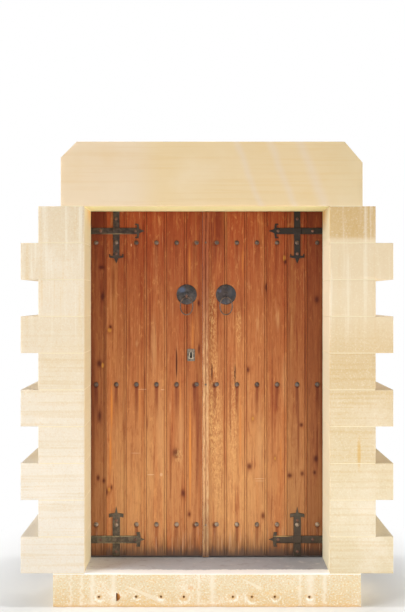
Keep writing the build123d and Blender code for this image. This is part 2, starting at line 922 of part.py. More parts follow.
def make_keeper():
    """The box keeper on the right leaf: open to the lock and to the boards, with flanges."""
    low = right_meeting + keeper_inset
    with BuildPart() as keeper:
        with BuildSketch(front_plane(board_back)):
            with Locations((low + keeper_length / 2, lock_bolt_z)):
                Rectangle(keeper_length, keeper_height)
        extrude(amount=-case_depth)
        with BuildSketch(front_plane(board_back)):
            with Locations((low + keeper_length / 2 - case_wall, lock_bolt_z)):
                Rectangle(keeper_length, keeper_height - 2 * case_wall)
        extrude(amount=-(case_depth - case_wall), mode=Mode.SUBTRACT)
        with BuildSketch(front_plane(board_back)):
            with Locations((low + keeper_length / 2, lock_bolt_z)):
                Rectangle(keeper_length - case_flange, keeper_height + 2 * keeper_flange)
                Rectangle(keeper_length, keeper_height - case_wall, mode=Mode.SUBTRACT)
        extrude(amount=-case_wall)
        rise = (keeper_height + keeper_flange) / 2
        nail = make_flange_nail()
        with Locations(*[(low + keeper_length / 2, 0, lock_bolt_z + z) for z in (-rise, rise)]):
            add(nail)
    return keeper.part


def make_bolt_guides():
    """A plate with two bridges for each shooting bolt."""
    with BuildPart() as guides:
        for up, end in ((1, leaf_top), (-1, leaf_bottom)):
            middle = end - up * (guide_inset + guide_length / 2)
            with BuildSketch(front_plane(board_back)):
                with Locations((bolt_place, middle)):
                    Rectangle(guide_width, guide_length)
            extrude(amount=-guide_plate)
            for place in (-1, 1):
                away = (guide_length - bridge_width) / 2 - bridge_inset
                bottom = middle + place * away - bridge_width / 2
                rear = board_back + guide_plate
                inner = bolt_size + 2 * slide_play
                with BuildSketch(Plane.XY.offset(bottom)):
                    with Locations((bolt_place, rear + (inner + bridge_thickness) / 2)):
                        Rectangle(inner + 2 * bridge_thickness, inner + bridge_thickness)
                    with Locations((bolt_place, rear + inner / 2)):
                        Rectangle(inner, inner, mode=Mode.SUBTRACT)
                extrude(amount=bridge_width)
    return guides.part


def make_shooting_bolt(up, end):
    """A square bolt with a knob, drawn back, with its tip just inside the leaf's end."""
    tip = end - up * bolt_inset
    with BuildPart() as bolt:
        with BuildSketch(Plane.XY.offset(min(tip, tip - up * bolt_length))):
            with Locations((bolt_place, bolt_y)):
                Rectangle(bolt_size, bolt_size)
        extrude(amount=bolt_length)
        chamfer(bolt.faces().sort_by(Axis.Z)[-1 if up > 0 else 0].edges(), bolt_chamfer)
        knob = end - up * knob_place
        seat = Plane(origin=(bolt_place, bolt_y + bolt_size / 2, knob), x_dir=(1, 0, 0), z_dir=(0, 1, 0))
        add(make_tiers(seat, knob_radius, head_facets, knob_profile))
    return bolt.part


# Everything is written, each piece in its own file

for side, hand in ((-1, "left"), (1, "right")):
    for number in range(1, course_count + 1):
        save(f"{hand}_quoin_{number:02d}", make_quoin(side, number))
    for number in range(1, boards_per_leaf + 1):
        save(f"{hand}_board_{number}", make_board(side, number))
    save(f"{hand}_frame_post", make_post(side))
    save(f"{hand}_pintles", make_pintles(side))
    save(f"{hand}_ledges", make_ledges(side))
    save(f"{hand}_studs", make_studs(side))
    save(f"{hand}_cross_straps", make_cross_straps(side))
    save(f"{hand}_hinge_bands", make_bands(side))
save("threshold", make_threshold())
save("lintel", make_lintel())
save("frame_head", make_head())
save("meeting_strip", make_meeting_strip())
save("left_knocker_plate", make_knocker_plate(left_knocker_place))
save("right_knocker_plate", make_knocker_plate(right_knocker_place))
save("left_knocker_ring", make_ring(left_knocker_place))
save("right_knocker_ring", make_ring(right_knocker_place))
save("escutcheon", make_escutcheon())
save("lock_case", make_lock_case())
save("lock_bolt", make_lock_bolt())
save("lock_keeper", make_keeper())
save("bolt_guides", make_bolt_guides())
save("top_bolt", make_shooting_bolt(1, leaf_top))
save("bottom_bolt", make_shooting_bolt(-1, leaf_bottom))
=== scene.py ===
# %% [markdown]
# # A plank door in a dressed stone surround
#
# The real object is a pair of boarded leaves hung behind a surround of cut limestone, with a
# stone sill to step over. Forged crosses, studs and ring knockers hold and dress the boards.
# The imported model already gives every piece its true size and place. This lesson gives the
# pieces their worn edges, their forged shapes and their finishes, one small step at a time.

import math

import bmesh
import bpy
from mathutils import Matrix, Vector, noise


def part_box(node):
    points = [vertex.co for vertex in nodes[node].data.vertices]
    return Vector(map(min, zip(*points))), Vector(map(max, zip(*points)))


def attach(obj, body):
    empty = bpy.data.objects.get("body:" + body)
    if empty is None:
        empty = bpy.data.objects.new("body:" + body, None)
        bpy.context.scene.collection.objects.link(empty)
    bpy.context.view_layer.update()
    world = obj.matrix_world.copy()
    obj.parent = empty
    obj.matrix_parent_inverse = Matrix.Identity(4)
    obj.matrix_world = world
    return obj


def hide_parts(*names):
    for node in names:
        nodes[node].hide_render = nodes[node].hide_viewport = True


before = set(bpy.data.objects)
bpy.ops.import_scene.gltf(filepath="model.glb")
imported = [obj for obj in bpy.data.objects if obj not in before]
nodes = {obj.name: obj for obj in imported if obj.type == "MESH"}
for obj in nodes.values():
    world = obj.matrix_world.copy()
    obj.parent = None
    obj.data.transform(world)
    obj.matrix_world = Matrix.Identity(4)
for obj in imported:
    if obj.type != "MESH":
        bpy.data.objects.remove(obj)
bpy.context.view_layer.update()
print("pieces in the frame:", len(nodes))

# %% [markdown]
# Most places in the lesson are worked out from the pieces themselves. The stone face is the
# front of the sill, the tread is its top, and the soffit is the underside of the lintel. The
# marks on the wood are given as millimetres across and above the tread, as a joiner would
# measure them on the door.

# %% Measure the opening
MM = 0.001
sill_low, sill_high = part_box("threshold")
lintel_low, lintel_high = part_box("lintel")
face = sill_low.y
tread = sill_high.z
soffit = lintel_low.z
half_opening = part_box("right_quoin_01")[0].x
board_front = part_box("left_board_1")[0].y
board_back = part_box("left_board_1")[1].y
ledge_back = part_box("left_ledges")[1].y
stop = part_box("left_frame_post")[0].y
opening_height = soffit - tread
course_count = 10
course = opening_height / course_count
boards_per_leaf = 6
board_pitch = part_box("right_board_4")[0].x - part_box("right_board_5")[0].x
columns = [board_pitch * (number + 0.5) for number in range(boards_per_leaf)]
cross_x = columns[-2]
upper_arm = soffit - 110 * MM
lower_arm = tread + 101 * MM
hands = ((-1, "left"), (1, "right"))
print("opening", round(2 * half_opening, 3), "by", round(opening_height, 3), "m")

# %% [markdown]
# The viewpoint is that of someone who stands a little over three metres from the stone, with
# the eye one and a half metres above the tread. A camera's distance could be guessed by eye,
# but here it follows from two widths: the surround and the door behind it shrink by different
# amounts. The courses look equally high from top to bottom, so the camera is level, and a
# small shift of the lens lowers the frame without tilting the uprights.

# %% Set the camera
viewing_distance = 3.25
eye_height = 1.47
eye_offset = -0.024
focal_length = 35.85
frame_height = 612
horizon_above_middle = 8


def add_object(name, data):
    added = bpy.data.objects.new(name, data)
    bpy.context.scene.collection.objects.link(added)
    return added


lens = bpy.data.cameras.new("viewpoint")
lens.sensor_fit = "VERTICAL"
lens.sensor_height = 36.0
lens.lens = focal_length
lens.shift_y = -horizon_above_middle / frame_height
camera = add_object("viewpoint", lens)
camera.location = (eye_offset, face - viewing_distance, tread + eye_height)
camera.rotation_euler = (math.pi / 2, 0.0, 0.0)
bpy.context.scene.camera = camera
bpy.context.scene.view_settings.view_transform = "Standard"
print("camera at", [round(value, 3) for value in camera.location])

# %% [markdown]
# Shader maths is easier to read as arithmetic than as a web of nodes. The small class below
# wraps one socket: adding or multiplying two wrapped sockets adds the Math node for it, and
# its node method adds any other node. Everything else in the finishes is built from these.

# %% Write shader maths as arithmetic
class Shade:
    """One output socket of a node tree, which can be used in arithmetic."""

    def __init__(self, tree, socket=None):
        self.tree = tree
        self.socket = socket

    def feed(self, slot, value):
        if isinstance(value, Shade):
            self.tree.links.new(value.socket, slot)
        else:
            slot.default_value = value

    def node(self, kind, settings=None, inputs=None, output=0):
        """Adds a node: its settings first, then the values or links of its sockets."""
        added = self.tree.nodes.new("ShaderNode" + kind)
        for name, value in (settings or {}).items():
            if name == "stops":
                place_stops(added.color_ramp, value)
            else:
                setattr(added, name, value)
        for key, value in (inputs or {}).items():
            self.feed(added.inputs[key], value)
        return Shade(self.tree, added.outputs[output])

    def math(self, operation, first, second=0.0):
        return self.node("Math", {"operation": operation}, {0: first, 1: second})

    def __add__(self, other):
        return self.math("ADD", self, other)

    def __sub__(self, other):
        return self.math("SUBTRACT", self, other)

    def __mul__(self, other):
        return self.math("MULTIPLY", self, other)

    def __rsub__(self, other):
        return self.math("SUBTRACT", other, self)

    __radd__ = __add__
    __rmul__ = __mul__


def place_stops(ramp, stops):
    """Sets a ramp's stops, each a position and a colour."""
    while len(ramp.elements) < len(stops):
        ramp.elements.new(1.0)
    for element, (position, colour) in zip(ramp.elements, stops):
        element.position = position
        element.color = tone(*colour)


def tone(red, green, blue):
    """A colour as it is seen on a screen, from 0 to 255, as the shader's linear colour."""
    scaled = [value / 255 for value in (red, green, blue)]
    return tuple(v / 12.92 if v <= 0.04045 else ((v + 0.055) / 1.055) ** 2.4 for v in scaled) + (1.0,)


print("cream stone is", [round(value, 3) for value in tone(240, 222, 190)])

# %% [markdown]
# A finish is made of a few simple patterns: noise stretched along the grain or the saw marks,
# a smooth step between two values, and a soft-edged oval spot. All of them read Object
# coordinates, so they stay fixed to the piece when a leaf swings.

# %% Collect the shared patterns
def axes(place, names="xyz"):
    """The named coordinates of a place, apart."""
    return [place.node("SeparateXYZ", None, {0: place}, output="xyz".index(name)) for name in names]


def smooth(value, low, high):
    """Rises softly from 0 to 1 as the value goes from low to high; low may be the larger."""
    settings = {"interpolation_type": "SMOOTHSTEP"}
    return value.node("MapRange", settings, {"Value": value, "From Min": low, "From Max": high})


def grain(place, scale, detail=2.0, roughness=0.5, shift=0.0, distortion=0.0):
    """Noise with its own scale along each axis, so that it can be drawn out like grain. A
    single number is the scale along all three."""
    scale = (scale,) * 3 if isinstance(scale, float) else scale
    spread = place.node("Mapping", None, {"Vector": place, "Location": (shift,) * 3, "Scale": scale})
    strength = {"Scale": 1.0, "Detail": detail, "Roughness": roughness, "Distortion": distortion}
    return place.node("TexNoise", None, {"Vector": spread, **strength})


def spot(place, x, z, half_width, half_height, hard=0.5):
    """1 inside an upright oval, fading to 0 at its rim."""
    scale = (1 / half_width, 0.0, 1 / half_height)
    start = (-x / half_width, 0.0, -z / half_height)
    local = place.node("Mapping", None, {"Vector": place, "Location": start, "Scale": scale})
    reach = place.node("VectorMath", {"operation": "LENGTH"}, {0: local}, output="Value")
    return smooth(reach, 1.0, hard)


print("patterns ready: grain, smooth, spot")

# %% [markdown]
# A colour grows in layers, as a painter would build it up: each layer lies over the one
# before, or multiplies it like a stain. Colours are written as they are seen on a screen. The
# finished colour and a fine relief then go into the material.

# %% Lay colours and finish a material
STAIN = "MULTIPLY"


def screen(value):
    """Three numbers are a colour as it is seen on a screen; anything else stays as it is."""
    return tone(*value) if isinstance(value, tuple) and len(value) == 3 else value


def lay(amount, under, over, blend="MIX"):
    """Lays one colour over another; the blend STAIN multiplies them instead."""
    shade = next(item for item in (amount, under, over) if isinstance(item, Shade))
    settings = {"data_type": "RGBA", "blend_type": blend}
    return shade.node("Mix", settings, {0: amount, 6: screen(under), 7: screen(over)}, output=2)


def stain(amount, under, over):
    return lay(amount, under, over, STAIN)


def layers(colour, rows):
    """Lays several colours in turn. A row is a pattern, where it begins and where it is full,
    its amount, its colour and, for a stain, the blend."""
    for pattern, low, high, amount, shade, *blend in rows:
        colour = lay(smooth(pattern, low, high) * amount, colour, shade, *blend)
    return colour


def new_finish(name, roughness, metallic=0.0, gloss=0.5):
    """A material, and the Object coordinates to draw its pattern by."""
    material = bpy.data.materials.new(name)
    material.use_nodes = True
    surface = material.node_tree.nodes["Principled BSDF"]
    surface.inputs["Roughness"].default_value = roughness
    surface.inputs["Metallic"].default_value = metallic
    surface.inputs["Specular IOR Level"].default_value = gloss
    place = Shade(material.node_tree).node("TexCoord", output="Object")
    return material, place


def finished(material, colour, height, depth, roughness=None):
    """The material with its colour and its fine relief, whose full depth is in metres, and
    with a roughness that varies where one is given."""
    inputs = material.node_tree.nodes["Principled BSDF"].inputs
    bump = height.node("Bump", None, {"Strength": 1.0, "Distance": depth, "Height": height})
    for socket, value in (("Base Color", colour), ("Normal", bump), ("Roughness", roughness)):
        if value is not None:
            value.feed(inputs[socket], value)
    return material


print("a stain is the blend", STAIN)

# %% [markdown]
# The light is that of an open, slightly hazy day. Two large soft lamps stand far out at the
# sides, and the left one is higher and stronger, so the right-hand reveal catches more light
# than the left one. A low one close in front stands for the sunlit ground, which brightens
# the soffit. Small lamps in front would cut hard shadows, which the real doorway doesn't
# have. Only the sun itself is small: it stands almost straight above, so it just reaches the
# tread's front edge past the lintel. A last lamp lights the back for anyone who walks round.

# %% Place the lamps
def soft_lamp(name, place, aim, size, power):
    lamp = bpy.data.lights.new(name, "AREA")
    lamp.shape = "DISK"
    lamp.size = size
    lamp.energy = power
    holder = add_object(name, lamp)
    holder.location = place
    holder.rotation_euler = (Vector(aim) - Vector(place)).to_track_quat("-Z", "Y").to_euler()
    holder.visible_camera = False


middle = (0.0, 0.0, 1.1)
soft_lamp("open_sky", (-6.0, -2.3, 3.2), middle, 3.2, 325.0)
soft_lamp("pale_street", (6.0, -2.3, 0.9), middle, 3.0, 258.0)
soft_lamp("lit_ground", (0.1, -1.6, 0.1), (0.0, -0.7, 2.3), 2.4, 38.0)
soft_lamp("high_sun", (0.0, face - 0.093, 6.0), (0.0, face, tread), 0.15, 95.0)
soft_lamp("rear_light", (1.8, 4.6, 3.2), middle, 3.0, 130.0)
print("lamps:", len(bpy.data.lights))

# %% [markdown]
# The world gives the plain, even part of the light. Only what the camera, a reflection or a
# glass sees of it is made pure white, through Light Path, so the background is white without
# any more light on the stone.

# %% Make the world and the floor
def white_to_the_eye(start):
    """1 for the rays that see the background, 0 for those that light the object."""
    rays = [start.node("LightPath", output=name) for name in
            ("Is Camera Ray", "Is Glossy Ray", "Is Transmission Ray")]
    return start.math("MAXIMUM", start.math("MAXIMUM", rays[0], rays[1]), rays[2])


even_light = 0.16
world = bpy.data.worlds.new("pale_day")
bpy.context.scene.world = world
world.use_nodes = True
backdrop = world.node_tree.nodes["Background"]
seen = white_to_the_eye(Shade(world.node_tree))
backdrop.inputs["Color"].default_value = (1.0, 1.0, 1.0, 1.0)
seen.feed(backdrop.inputs["Strength"], seen * (1.0 - even_light) + even_light)

floor_radius = 9.0
shade_radius = 0.95
fade_radius = 1.7
disc = bmesh.new()
bmesh.ops.create_circle(disc, cap_ends=True, segments=96, radius=floor_radius)
floor_mesh = bpy.data.meshes.new("floor")
disc.to_mesh(floor_mesh)
disc.free()
floor = add_object("floor", floor_mesh)

floor_finish, floor_place = new_finish("pale_floor", 0.95)
floor_surface = floor_finish.node_tree.nodes["Principled BSDF"]
floor_surface.inputs["Base Color"].default_value = (0.86, 0.86, 0.85, 1.0)
across = floor_place.node("VectorMath", {"operation": "LENGTH"}, {0: floor_place}, output="Value")
white = floor_place.node("Emission", None, {"Color": (1.0, 1.0, 1.0, 1.0), "Strength": 1.0})
hidden = smooth(across, shade_radius, fade_radius) * white_to_the_eye(floor_place)
lit = Shade(floor_finish.node_tree, floor_surface.outputs[0])
blend = hidden.node("MixShader", None, {0: hidden, 1: lit, 2: white})
hidden.feed(floor_finish.node_tree.nodes["Material Output"].inputs["Surface"], blend)
floor_mesh.materials.append(floor_finish)
print("floor of", 2 * floor_radius, "m")

# %% [markdown]
# The stone is a pale limestone. Each block was sawn, so it has fine level ripples, and rain
# has drawn faint upright streaks on the upper blocks. One colour would look like plaster, so
# the finish drifts from a warmer tone near the lintel to a paler one near the sill, and each
# course is a touch lighter or darker than the next.

# %% Make the limestone of the quoins
def level_ripples(place, fineness, shift=0.0):
    """Fine level lines, as a stone saw leaves them."""
    return grain(place, (1.4, 1.4, fineness), 3.0, 0.6, shift)


def upright_streaks(place, fineness, shift=0.0):
    """Faint streaks that rain draws down a face."""
    return grain(place, (fineness, fineness, 1.3), 3.0, 0.6, shift)


def sawn_relief(place, lines, cloud):
    """The relief of sawn stone: its level lines, fine pits and a slow swell."""
    return lines * 0.5 + grain(place, 260.0, 2.0, 0.6) * 0.25 + cloud * 0.6


def quoin_finish(name, side, upper, lower, reveal):
    finish, place = new_finish(name, 0.82, gloss=0.25)
    x, y, z = axes(place)
    rise = smooth(z, tread, soffit)
    colour = lay(rise, lower, upper)
    number = place.math("FLOOR", (z - tread) * (1 / course))
    seed = {"W": number + 3.0 * side}
    luck = place.node("TexWhiteNoise", {"noise_dimensions": "1D"}, seed, output="Value")
    colour = stain(luck * 0.5, colour, (246, 242, 232))
    cloud = grain(place, 3.1, 4.0, 0.55, 7.0 * side)
    ripples = level_ripples(place, 70.0, side)
    streaks = upright_streaks(place, 34.0, side)
    speckle = grain(place, 120.0, 3.0, 0.7, 9.0)
    high = smooth(z, tread + 5.6 * course, tread + 7.4 * course)
    colour = layers(colour, (
        (cloud, 0.5, 0.8, 0.45, (249, 239, 224)),
        (cloud, 0.48, 0.2, 0.55, (250, 240, 214), STAIN),
        (streaks, 0.52, 0.68, high * 0.4, (250, 243, 228)),
        (streaks, 0.46, 0.32, high * 0.5, (250, 238, 208), STAIN),
        (ripples, 0.52, 0.36, (1.0 - high) * 0.55, (247, 238, 218), STAIN),
        (speckle, 0.54, 0.7, 0.3, (250, 242, 226)),
        (speckle, 0.47, 0.3, 0.45, (248, 230, 196), STAIN),
    ))
    # Each reveal gets a stain of its own; the left one's deeper, yellower stain is partly painted shade.
    inside = smooth(x * side, half_opening + 4 * MM, half_opening + 2 * MM)
    inside = inside * smooth(y, face + 6 * MM, face + 12 * MM)
    colour = lay(inside, colour, stain(0.4, reveal, colour))
    if side > 0:
        rust = spot(place, 811 * MM, tread + 640 * MM, 14 * MM, 120 * MM, 0.2)
        colour = stain(rust * 0.8, colour, (252, 226, 168))
        foot = smooth(z, tread + 9.22 * course, tread + 9.05 * course)
        colour = lay(foot * high * 0.5, colour, (247, 233, 206))
    # Each reveal's top corner by the soffit is painted warm ochre, as painted bounce light.
    corner = spot(place, side * half_opening, soffit, 90 * MM, 150 * MM, 0.0)
    painted_bounce_light = corner * smooth(y, face + 30 * MM, stop)
    colour = lay(painted_bounce_light * 0.75, colour, (236, 178, 92))
    return finished(finish, colour, sawn_relief(place, ripples, cloud), 1.2 * MM)


quoin_finishes = {
    -1: quoin_finish("limestone_left", -1, (234, 217, 190), (233, 223, 207), (236, 224, 188)),
    1: quoin_finish("limestone_right", 1, (216, 185, 134), (228, 214, 184), (242, 238, 214)),
}
print("quoin finishes:", len(quoin_finishes))

# %% [markdown]
# The lintel is one long stone from another bed. Its left third is pinkish, its middle more
# yellow, and three soft pale bands of the bedding run down to the right at its right-hand
# end. The bands are drawn by a slanted coordinate: the distance across, plus a share of the
# height.

# %% Make the lintel's stone
def lintel_finish():
    finish, place = new_finish("limestone_lintel", 0.8, gloss=0.25)
    x, y, z = axes(place)
    colour = lay(smooth(x, -0.42, -0.22), (237, 214, 181), (236, 210, 165))
    cloud = grain(place, (2.4, 2.4, 3.6), 4.0, 0.55, 2.0)
    colour = layers(colour, (
        (x, 0.5, 0.8, 0.6, (230, 209, 168)),
        (cloud, 0.5, 0.8, 0.4, (244, 226, 198)),
        (cloud, 0.48, 0.2, 0.5, (250, 238, 206), STAIN),
    ))
    slant = x + (z - soffit) * 0.4
    sway = (grain(place, 5.0, 2.0) - 0.5) * 0.05
    for centre, width in ((0.293, 0.032), (0.469, 0.036), (0.629, 0.045)):
        off = place.math("ABSOLUTE", slant + sway - centre)
        colour = lay(smooth(off, width, 0.0) * 0.55, colour, (235, 214, 190))
    lines = level_ripples(place, 64.0, 4.0)
    colour = stain(smooth(lines, 0.5, 0.34) * 0.25, colour, (248, 238, 214))
    # The soffit is painted a bright warm yellow: painted bounce light from the ground.
    under = smooth(z, soffit + 4 * MM, soffit + 1 * MM) * smooth(y, face + 8 * MM, face + 14 * MM)
    colour = lay(under, colour, (255, 247, 186))
    return finished(finish, colour, sawn_relief(place, lines, cloud), 1.2 * MM)


lintel_stone = lintel_finish()
print("lintel finish:", lintel_stone.name)

# %% [markdown]
# The sill is the most worn stone. Its front is very pale and speckled with warm yellow, with upright pale
# streaks and two scrapes. Round each blind hole the stone is stained, and a bright crescent along the
# edge of its scoop is a painted highlight. Each mark is a small function, so the sill's finish only has
# to call them.

# %% Mark the sill's front
rust_place = -485 * MM
hole_height = 53 * MM
sill_streaks = (
    (-728, 9), (-669, 9), (-613, 17), (-499, 20), (-45, 9), (27, 22), (496, 12), (552, 30), (627, 14),
)
sill_scrapes = (((-459, 124), (-219, 23), 15), ((171, 161), (293, 97), 11))
scoop_highlights = (
    (-575, 24, 8, 12), (-376, 18, 4, 12), (-246, 20, 4, 14), (-122, 30, -2, 14),
    (139, 26, -8, 14), (241, 36, 12, 12), (365, 24, 2, 13), (549, 18, 2, 12),
)


def scrape(place, start, end, half_width):
    """1 along a straight scrape between two points, which widens towards its end."""
    x, z = axes(place, "xz")
    run, fall = (end[0] - start[0]) * MM, (end[1] - start[1]) * MM
    length = math.hypot(run, fall)
    across, above = x - start[0] * MM, z - start[1] * MM
    along = across * (run / length) + above * (fall / length)
    off = place.math("ABSOLUTE", across * (-fall / length) + above * (run / length))
    width = smooth(along, 0.0, length) * (0.6 * half_width * MM) + 0.4 * half_width * MM
    reach = smooth(along, 0.0, 0.2 * length) * smooth(along, 1.05 * length, 0.9 * length)
    return smooth(off - width, 0.0, -4 * MM) * reach


def add_holes(place, colour):
    """The stain in each scoop, and a bright crescent along its edge that is a painted highlight."""
    ragged = grain(place, 60.0, 2.0, 0.6, 11.0)
    for across, radius, to_right, up in scoop_highlights:
        x, reach = across * MM, radius * MM
        scoop = spot(place, x, hole_height, 1.15 * reach, reach, 0.1)
        colour = lay(scoop * 0.75, colour, (226, 188, 134))
        # The crescent is a painted highlight on the scoop's edge.
        rim = spot(place, x, hole_height - 3 * MM, 1.3 * reach, 1.15 * reach, 0.7)
        shifted = hole_height + 0.7 * up * MM
        inner = spot(place, x + to_right * MM, shifted, 1.35 * reach, 1.25 * reach, 0.7)
        colour = lay(rim * (1.0 - inner) * smooth(ragged, 0.3, 0.6) * 0.8, colour, (255, 252, 240))
    return colour


def sill_front(place, colour, fine):
    """The marks on the sill's front face."""
    x, z = axes(place, "xz")
    speckle = grain(place, (100.0, 100.0, 120.0), 3.0, 0.7, 3.0)
    colour = lay(smooth(speckle, 0.5, 0.64) * 0.85, colour, (234, 194, 130))
    colour = lay(smooth(speckle, 0.47, 0.32) * 0.8, colour, (255, 248, 232))
    for across, half_width in sill_streaks:
        off = place.math("ABSOLUTE", x + (fine - 0.5) * 0.05 - across * MM)
        broken = smooth(speckle, 0.3, 0.6)
        colour = lay(smooth(off, 1.2 * half_width * MM, 0.0) * broken * 0.5, colour, (255, 250, 240))
    for first, last, half_width in sill_scrapes:
        broken = smooth(speckle, 0.35, 0.6) * 0.45
        colour = lay(scrape(place, first, last, half_width) * broken, colour, (255, 250, 238))
    comb = grain(place, (95.0, 8.0, 3.0), 2.0, 0.5, 2.0)
    comb = comb * spot(place, -85 * MM, 104 * MM, 44 * MM, 30 * MM, 0.1)
    colour = lay(smooth(comb, 0.3, 0.6) * 0.5, colour, (228, 176, 112))
    foot = smooth(z + (fine - 0.5) * 0.03, 0.02, 0.006)
    colour = lay(foot * 0.6, colour, (226, 182, 122))
    return add_holes(place, colour)


print("marks on the sill:", len(sill_streaks) + len(sill_scrapes) + len(scoop_highlights))

# %% [markdown]
# The tread is painted grey behind its front edge, for dirt and for a painted shadow of the lintel, and it
# is painted lighter towards the left as painted light. Its front lip is painted near white, a rubbed edge
# and a painted highlight of the sun, and the tread is painted dark as shade where it runs in under the
# door. The half moon recess is rusty inside. The marks of the front fade out a few centimetres in, or
# they would show on the sill's back too.

# %% Make the sill's stone
def sill_finish():
    finish, place = new_finish("limestone_sill", 0.8, gloss=0.25)
    x, y, z = axes(place)
    cloud = grain(place, (4.5, 4.5, 9.0), 4.0, 0.6, 5.0)
    fine = grain(place, (24.0, 24.0, 40.0), 3.0, 0.6, 1.0)
    colour = lay(smooth(z, 0.02, 0.12), (226, 202, 160), (230, 214, 180))
    colour = layers(colour, (
        (cloud, 0.5, 0.72, 0.5, (250, 241, 224)),
        (cloud, 0.46, 0.28, 0.6, (242, 213, 158)),
        (fine, 0.56, 0.74, 0.4, (236, 196, 138)),
    ))
    front = smooth(y, face + 40 * MM, face + 20 * MM)
    colour = lay(front, colour, sill_front(place, colour, fine))
    moon = spot(place, rust_place + 10 * MM, hole_height, 22 * MM, 30 * MM, 0.7)
    deep = smooth(y, face + 3 * MM, face + 9 * MM) * smooth(y, face + 80 * MM, face + 60 * MM)
    rusty = lay(smooth(x, rust_place - 1 * MM, rust_place + 9 * MM), (84, 54, 38), (226, 158, 84))
    colour = lay(moon * deep, colour, rusty)
    ragged = y + (cloud - 0.5) * 0.02 + (fine - 0.5) * 0.02
    # The whole top is painted near white first, and the front lip keeps it: a rubbed edge and a painted
    # highlight of the sun.
    on_top = smooth(z, tread - 6 * MM, tread - 4 * MM)
    colour = lay(on_top, colour, (255, 255, 251))
    # The grey behind the lip is dirt and a painted shadow of the lintel; it is painted lighter towards
    # the left as painted light.
    dirt_and_shade = smooth(ragged, face + 48 * MM, face + 58 * MM) * on_top
    grey = lay(smooth(x, -0.2, half_opening), (194, 198, 204), (178, 181, 190))
    grey = lay(smooth(x, -half_opening, -0.2), (246, 248, 252), grey)
    scuffs = grain(place, (16.0, 30.0, 10.0), 4.0, 0.7, 8.0)
    grey = lay(smooth(scuffs, 0.55, 0.72) * 0.45, grey, (228, 224, 222))
    grey = stain(smooth(scuffs, 0.46, 0.3) * 0.5, grey, (214, 206, 206))
    colour = lay(dirt_and_shade * 0.95, colour, grey)
    # The tread under and behind the door is painted dark as shade.
    painted_indoor_shade = smooth(y, board_front - 8 * MM, board_front + 4 * MM) * on_top
    colour = lay(painted_indoor_shade * 0.85, colour, (104, 90, 78))
    return finished(finish, colour, cloud * 0.8 + fine * 0.5, 2.0 * MM)


sill_stone = sill_finish()
print("sill finish:", sill_stone.name)

# %% [markdown]
# The boards are softwood under an old oiled stain. Sun and rain have bleached the lower part to a light
# orange-tan and the top has kept a dark red-brown; the darkening towards the top is also painted shade of
# the lintel.
# The grain runs upright, so its noise is drawn out along the height. Each board gets its own
# shift, or the grain would run on across the joints and the door would look like one sheet.

# %% Draw the grain of the boards
def stain_and_shade_by_height(above):
    """The stain's colour by the height above the tread, from the foot to the top; the darker top is
    partly painted shade of the lintel.
    """
    stops = (
        (0.0, (216, 158, 99)),
        (0.22, (219, 160, 99)),
        (0.42, (205, 138, 81)),
        (0.66, (190, 117, 66)),
        (0.86, (174, 95, 51)),
        (1.0, (161, 77, 36)),
    )
    return above.node("ValToRGB", {"stops": stops}, {"Fac": above * (1 / opening_height)})


def board_grain(place, colour, seed):
    """Draws the grain: broad figure, bands, lines, fibre and mottle. It returns the colour with the
    broad figure, the lines and the whole relief."""
    broad = grain(place, (19.0, 5.0, 0.8), 3.0, 0.6, 3.1 * seed, 0.4)
    bands = grain(place, (54.0, 20.0, 1.9), 4.0, 0.65, 2.3 * seed, 0.6)
    lines = grain(place, (125.0, 40.0, 3.6), 4.0, 0.7, 1.7 * seed, 0.3)
    fibre = grain(place, (430.0, 200.0, 14.0), 2.0, 0.6, 0.9 * seed)
    mottle = grain(place, (52.0, 20.0, 17.0), 4.0, 0.7, 4.7 * seed, 0.4)
    colour = layers(colour, (
        (broad, 0.51, 0.72, 0.5, (234, 180, 138), STAIN),
        (broad, 0.47, 0.27, 0.3, (228, 172, 100)),
        (bands, 0.47, 0.3, 0.55, (206, 160, 138), STAIN),
        (bands, 0.54, 0.7, 0.2475, (238, 178, 112)),
        (lines, 0.48, 0.28, 0.75, (196, 152, 130), STAIN),
        (lines, 0.55, 0.72, 0.3, (242, 194, 136)),
        (fibre, 0.5, 0.3, 0.4, (206, 176, 160), STAIN),
        (mottle, 0.47, 0.3, 0.5, (222, 186, 166), STAIN),
        (mottle, 0.54, 0.7, 0.27, (246, 186, 112)),
    ))
    return colour, broad, lines, lines * 0.6 + fibre * 0.3 + broad * 0.4


print("grain ready for", len(hands) * boards_per_leaf, "boards")

# %% [markdown]
# Rain runs off each stud and leaves a dark streak below it, and a dark ring round its head is dirt and a
# painted contact shadow.
# Splashes have turned the foot of the door grey-brown, with ragged edges that follow the
# grain. How dark the foot is differs from board to board.

# %% Add the drips and the soil
stud_rows = [
    (186 * MM, 95 * MM, 0.7),
    (opening_height / 2, 115 * MM, 0.85),
    (opening_height - 176 * MM, 105 * MM, 0.4),
]


def add_drips(place, colour, column, lines):
    """Dark runs below the studs, darkest right under each head, and a dark ring round the head that is
    dirt and a painted contact shadow.
    """
    x, z = axes(place, "xz")
    beside = x.math("ABSOLUTE", x - column + (lines - 0.5) * 0.01)
    for row, run, strength in stud_rows:
        level = tread + row
        fall = smooth(z, level - 2.2 * run, level - 0.2 * run) * smooth(z, level + 5 * MM, level - 3 * MM)
        wash = smooth(beside, 15 * MM, 3 * MM) * fall
        colour = stain(wash * smooth(lines, 0.15, 0.45) * strength, colour, (178, 132, 114))
        # The dark ring round each head is dirt and a painted contact shadow.
        dirt_and_shade = spot(place, column, level - 4 * MM, 19 * MM, 23 * MM, 0.45)
        colour = stain(dirt_and_shade * strength * 0.9, colour, (138, 104, 88))
    return colour


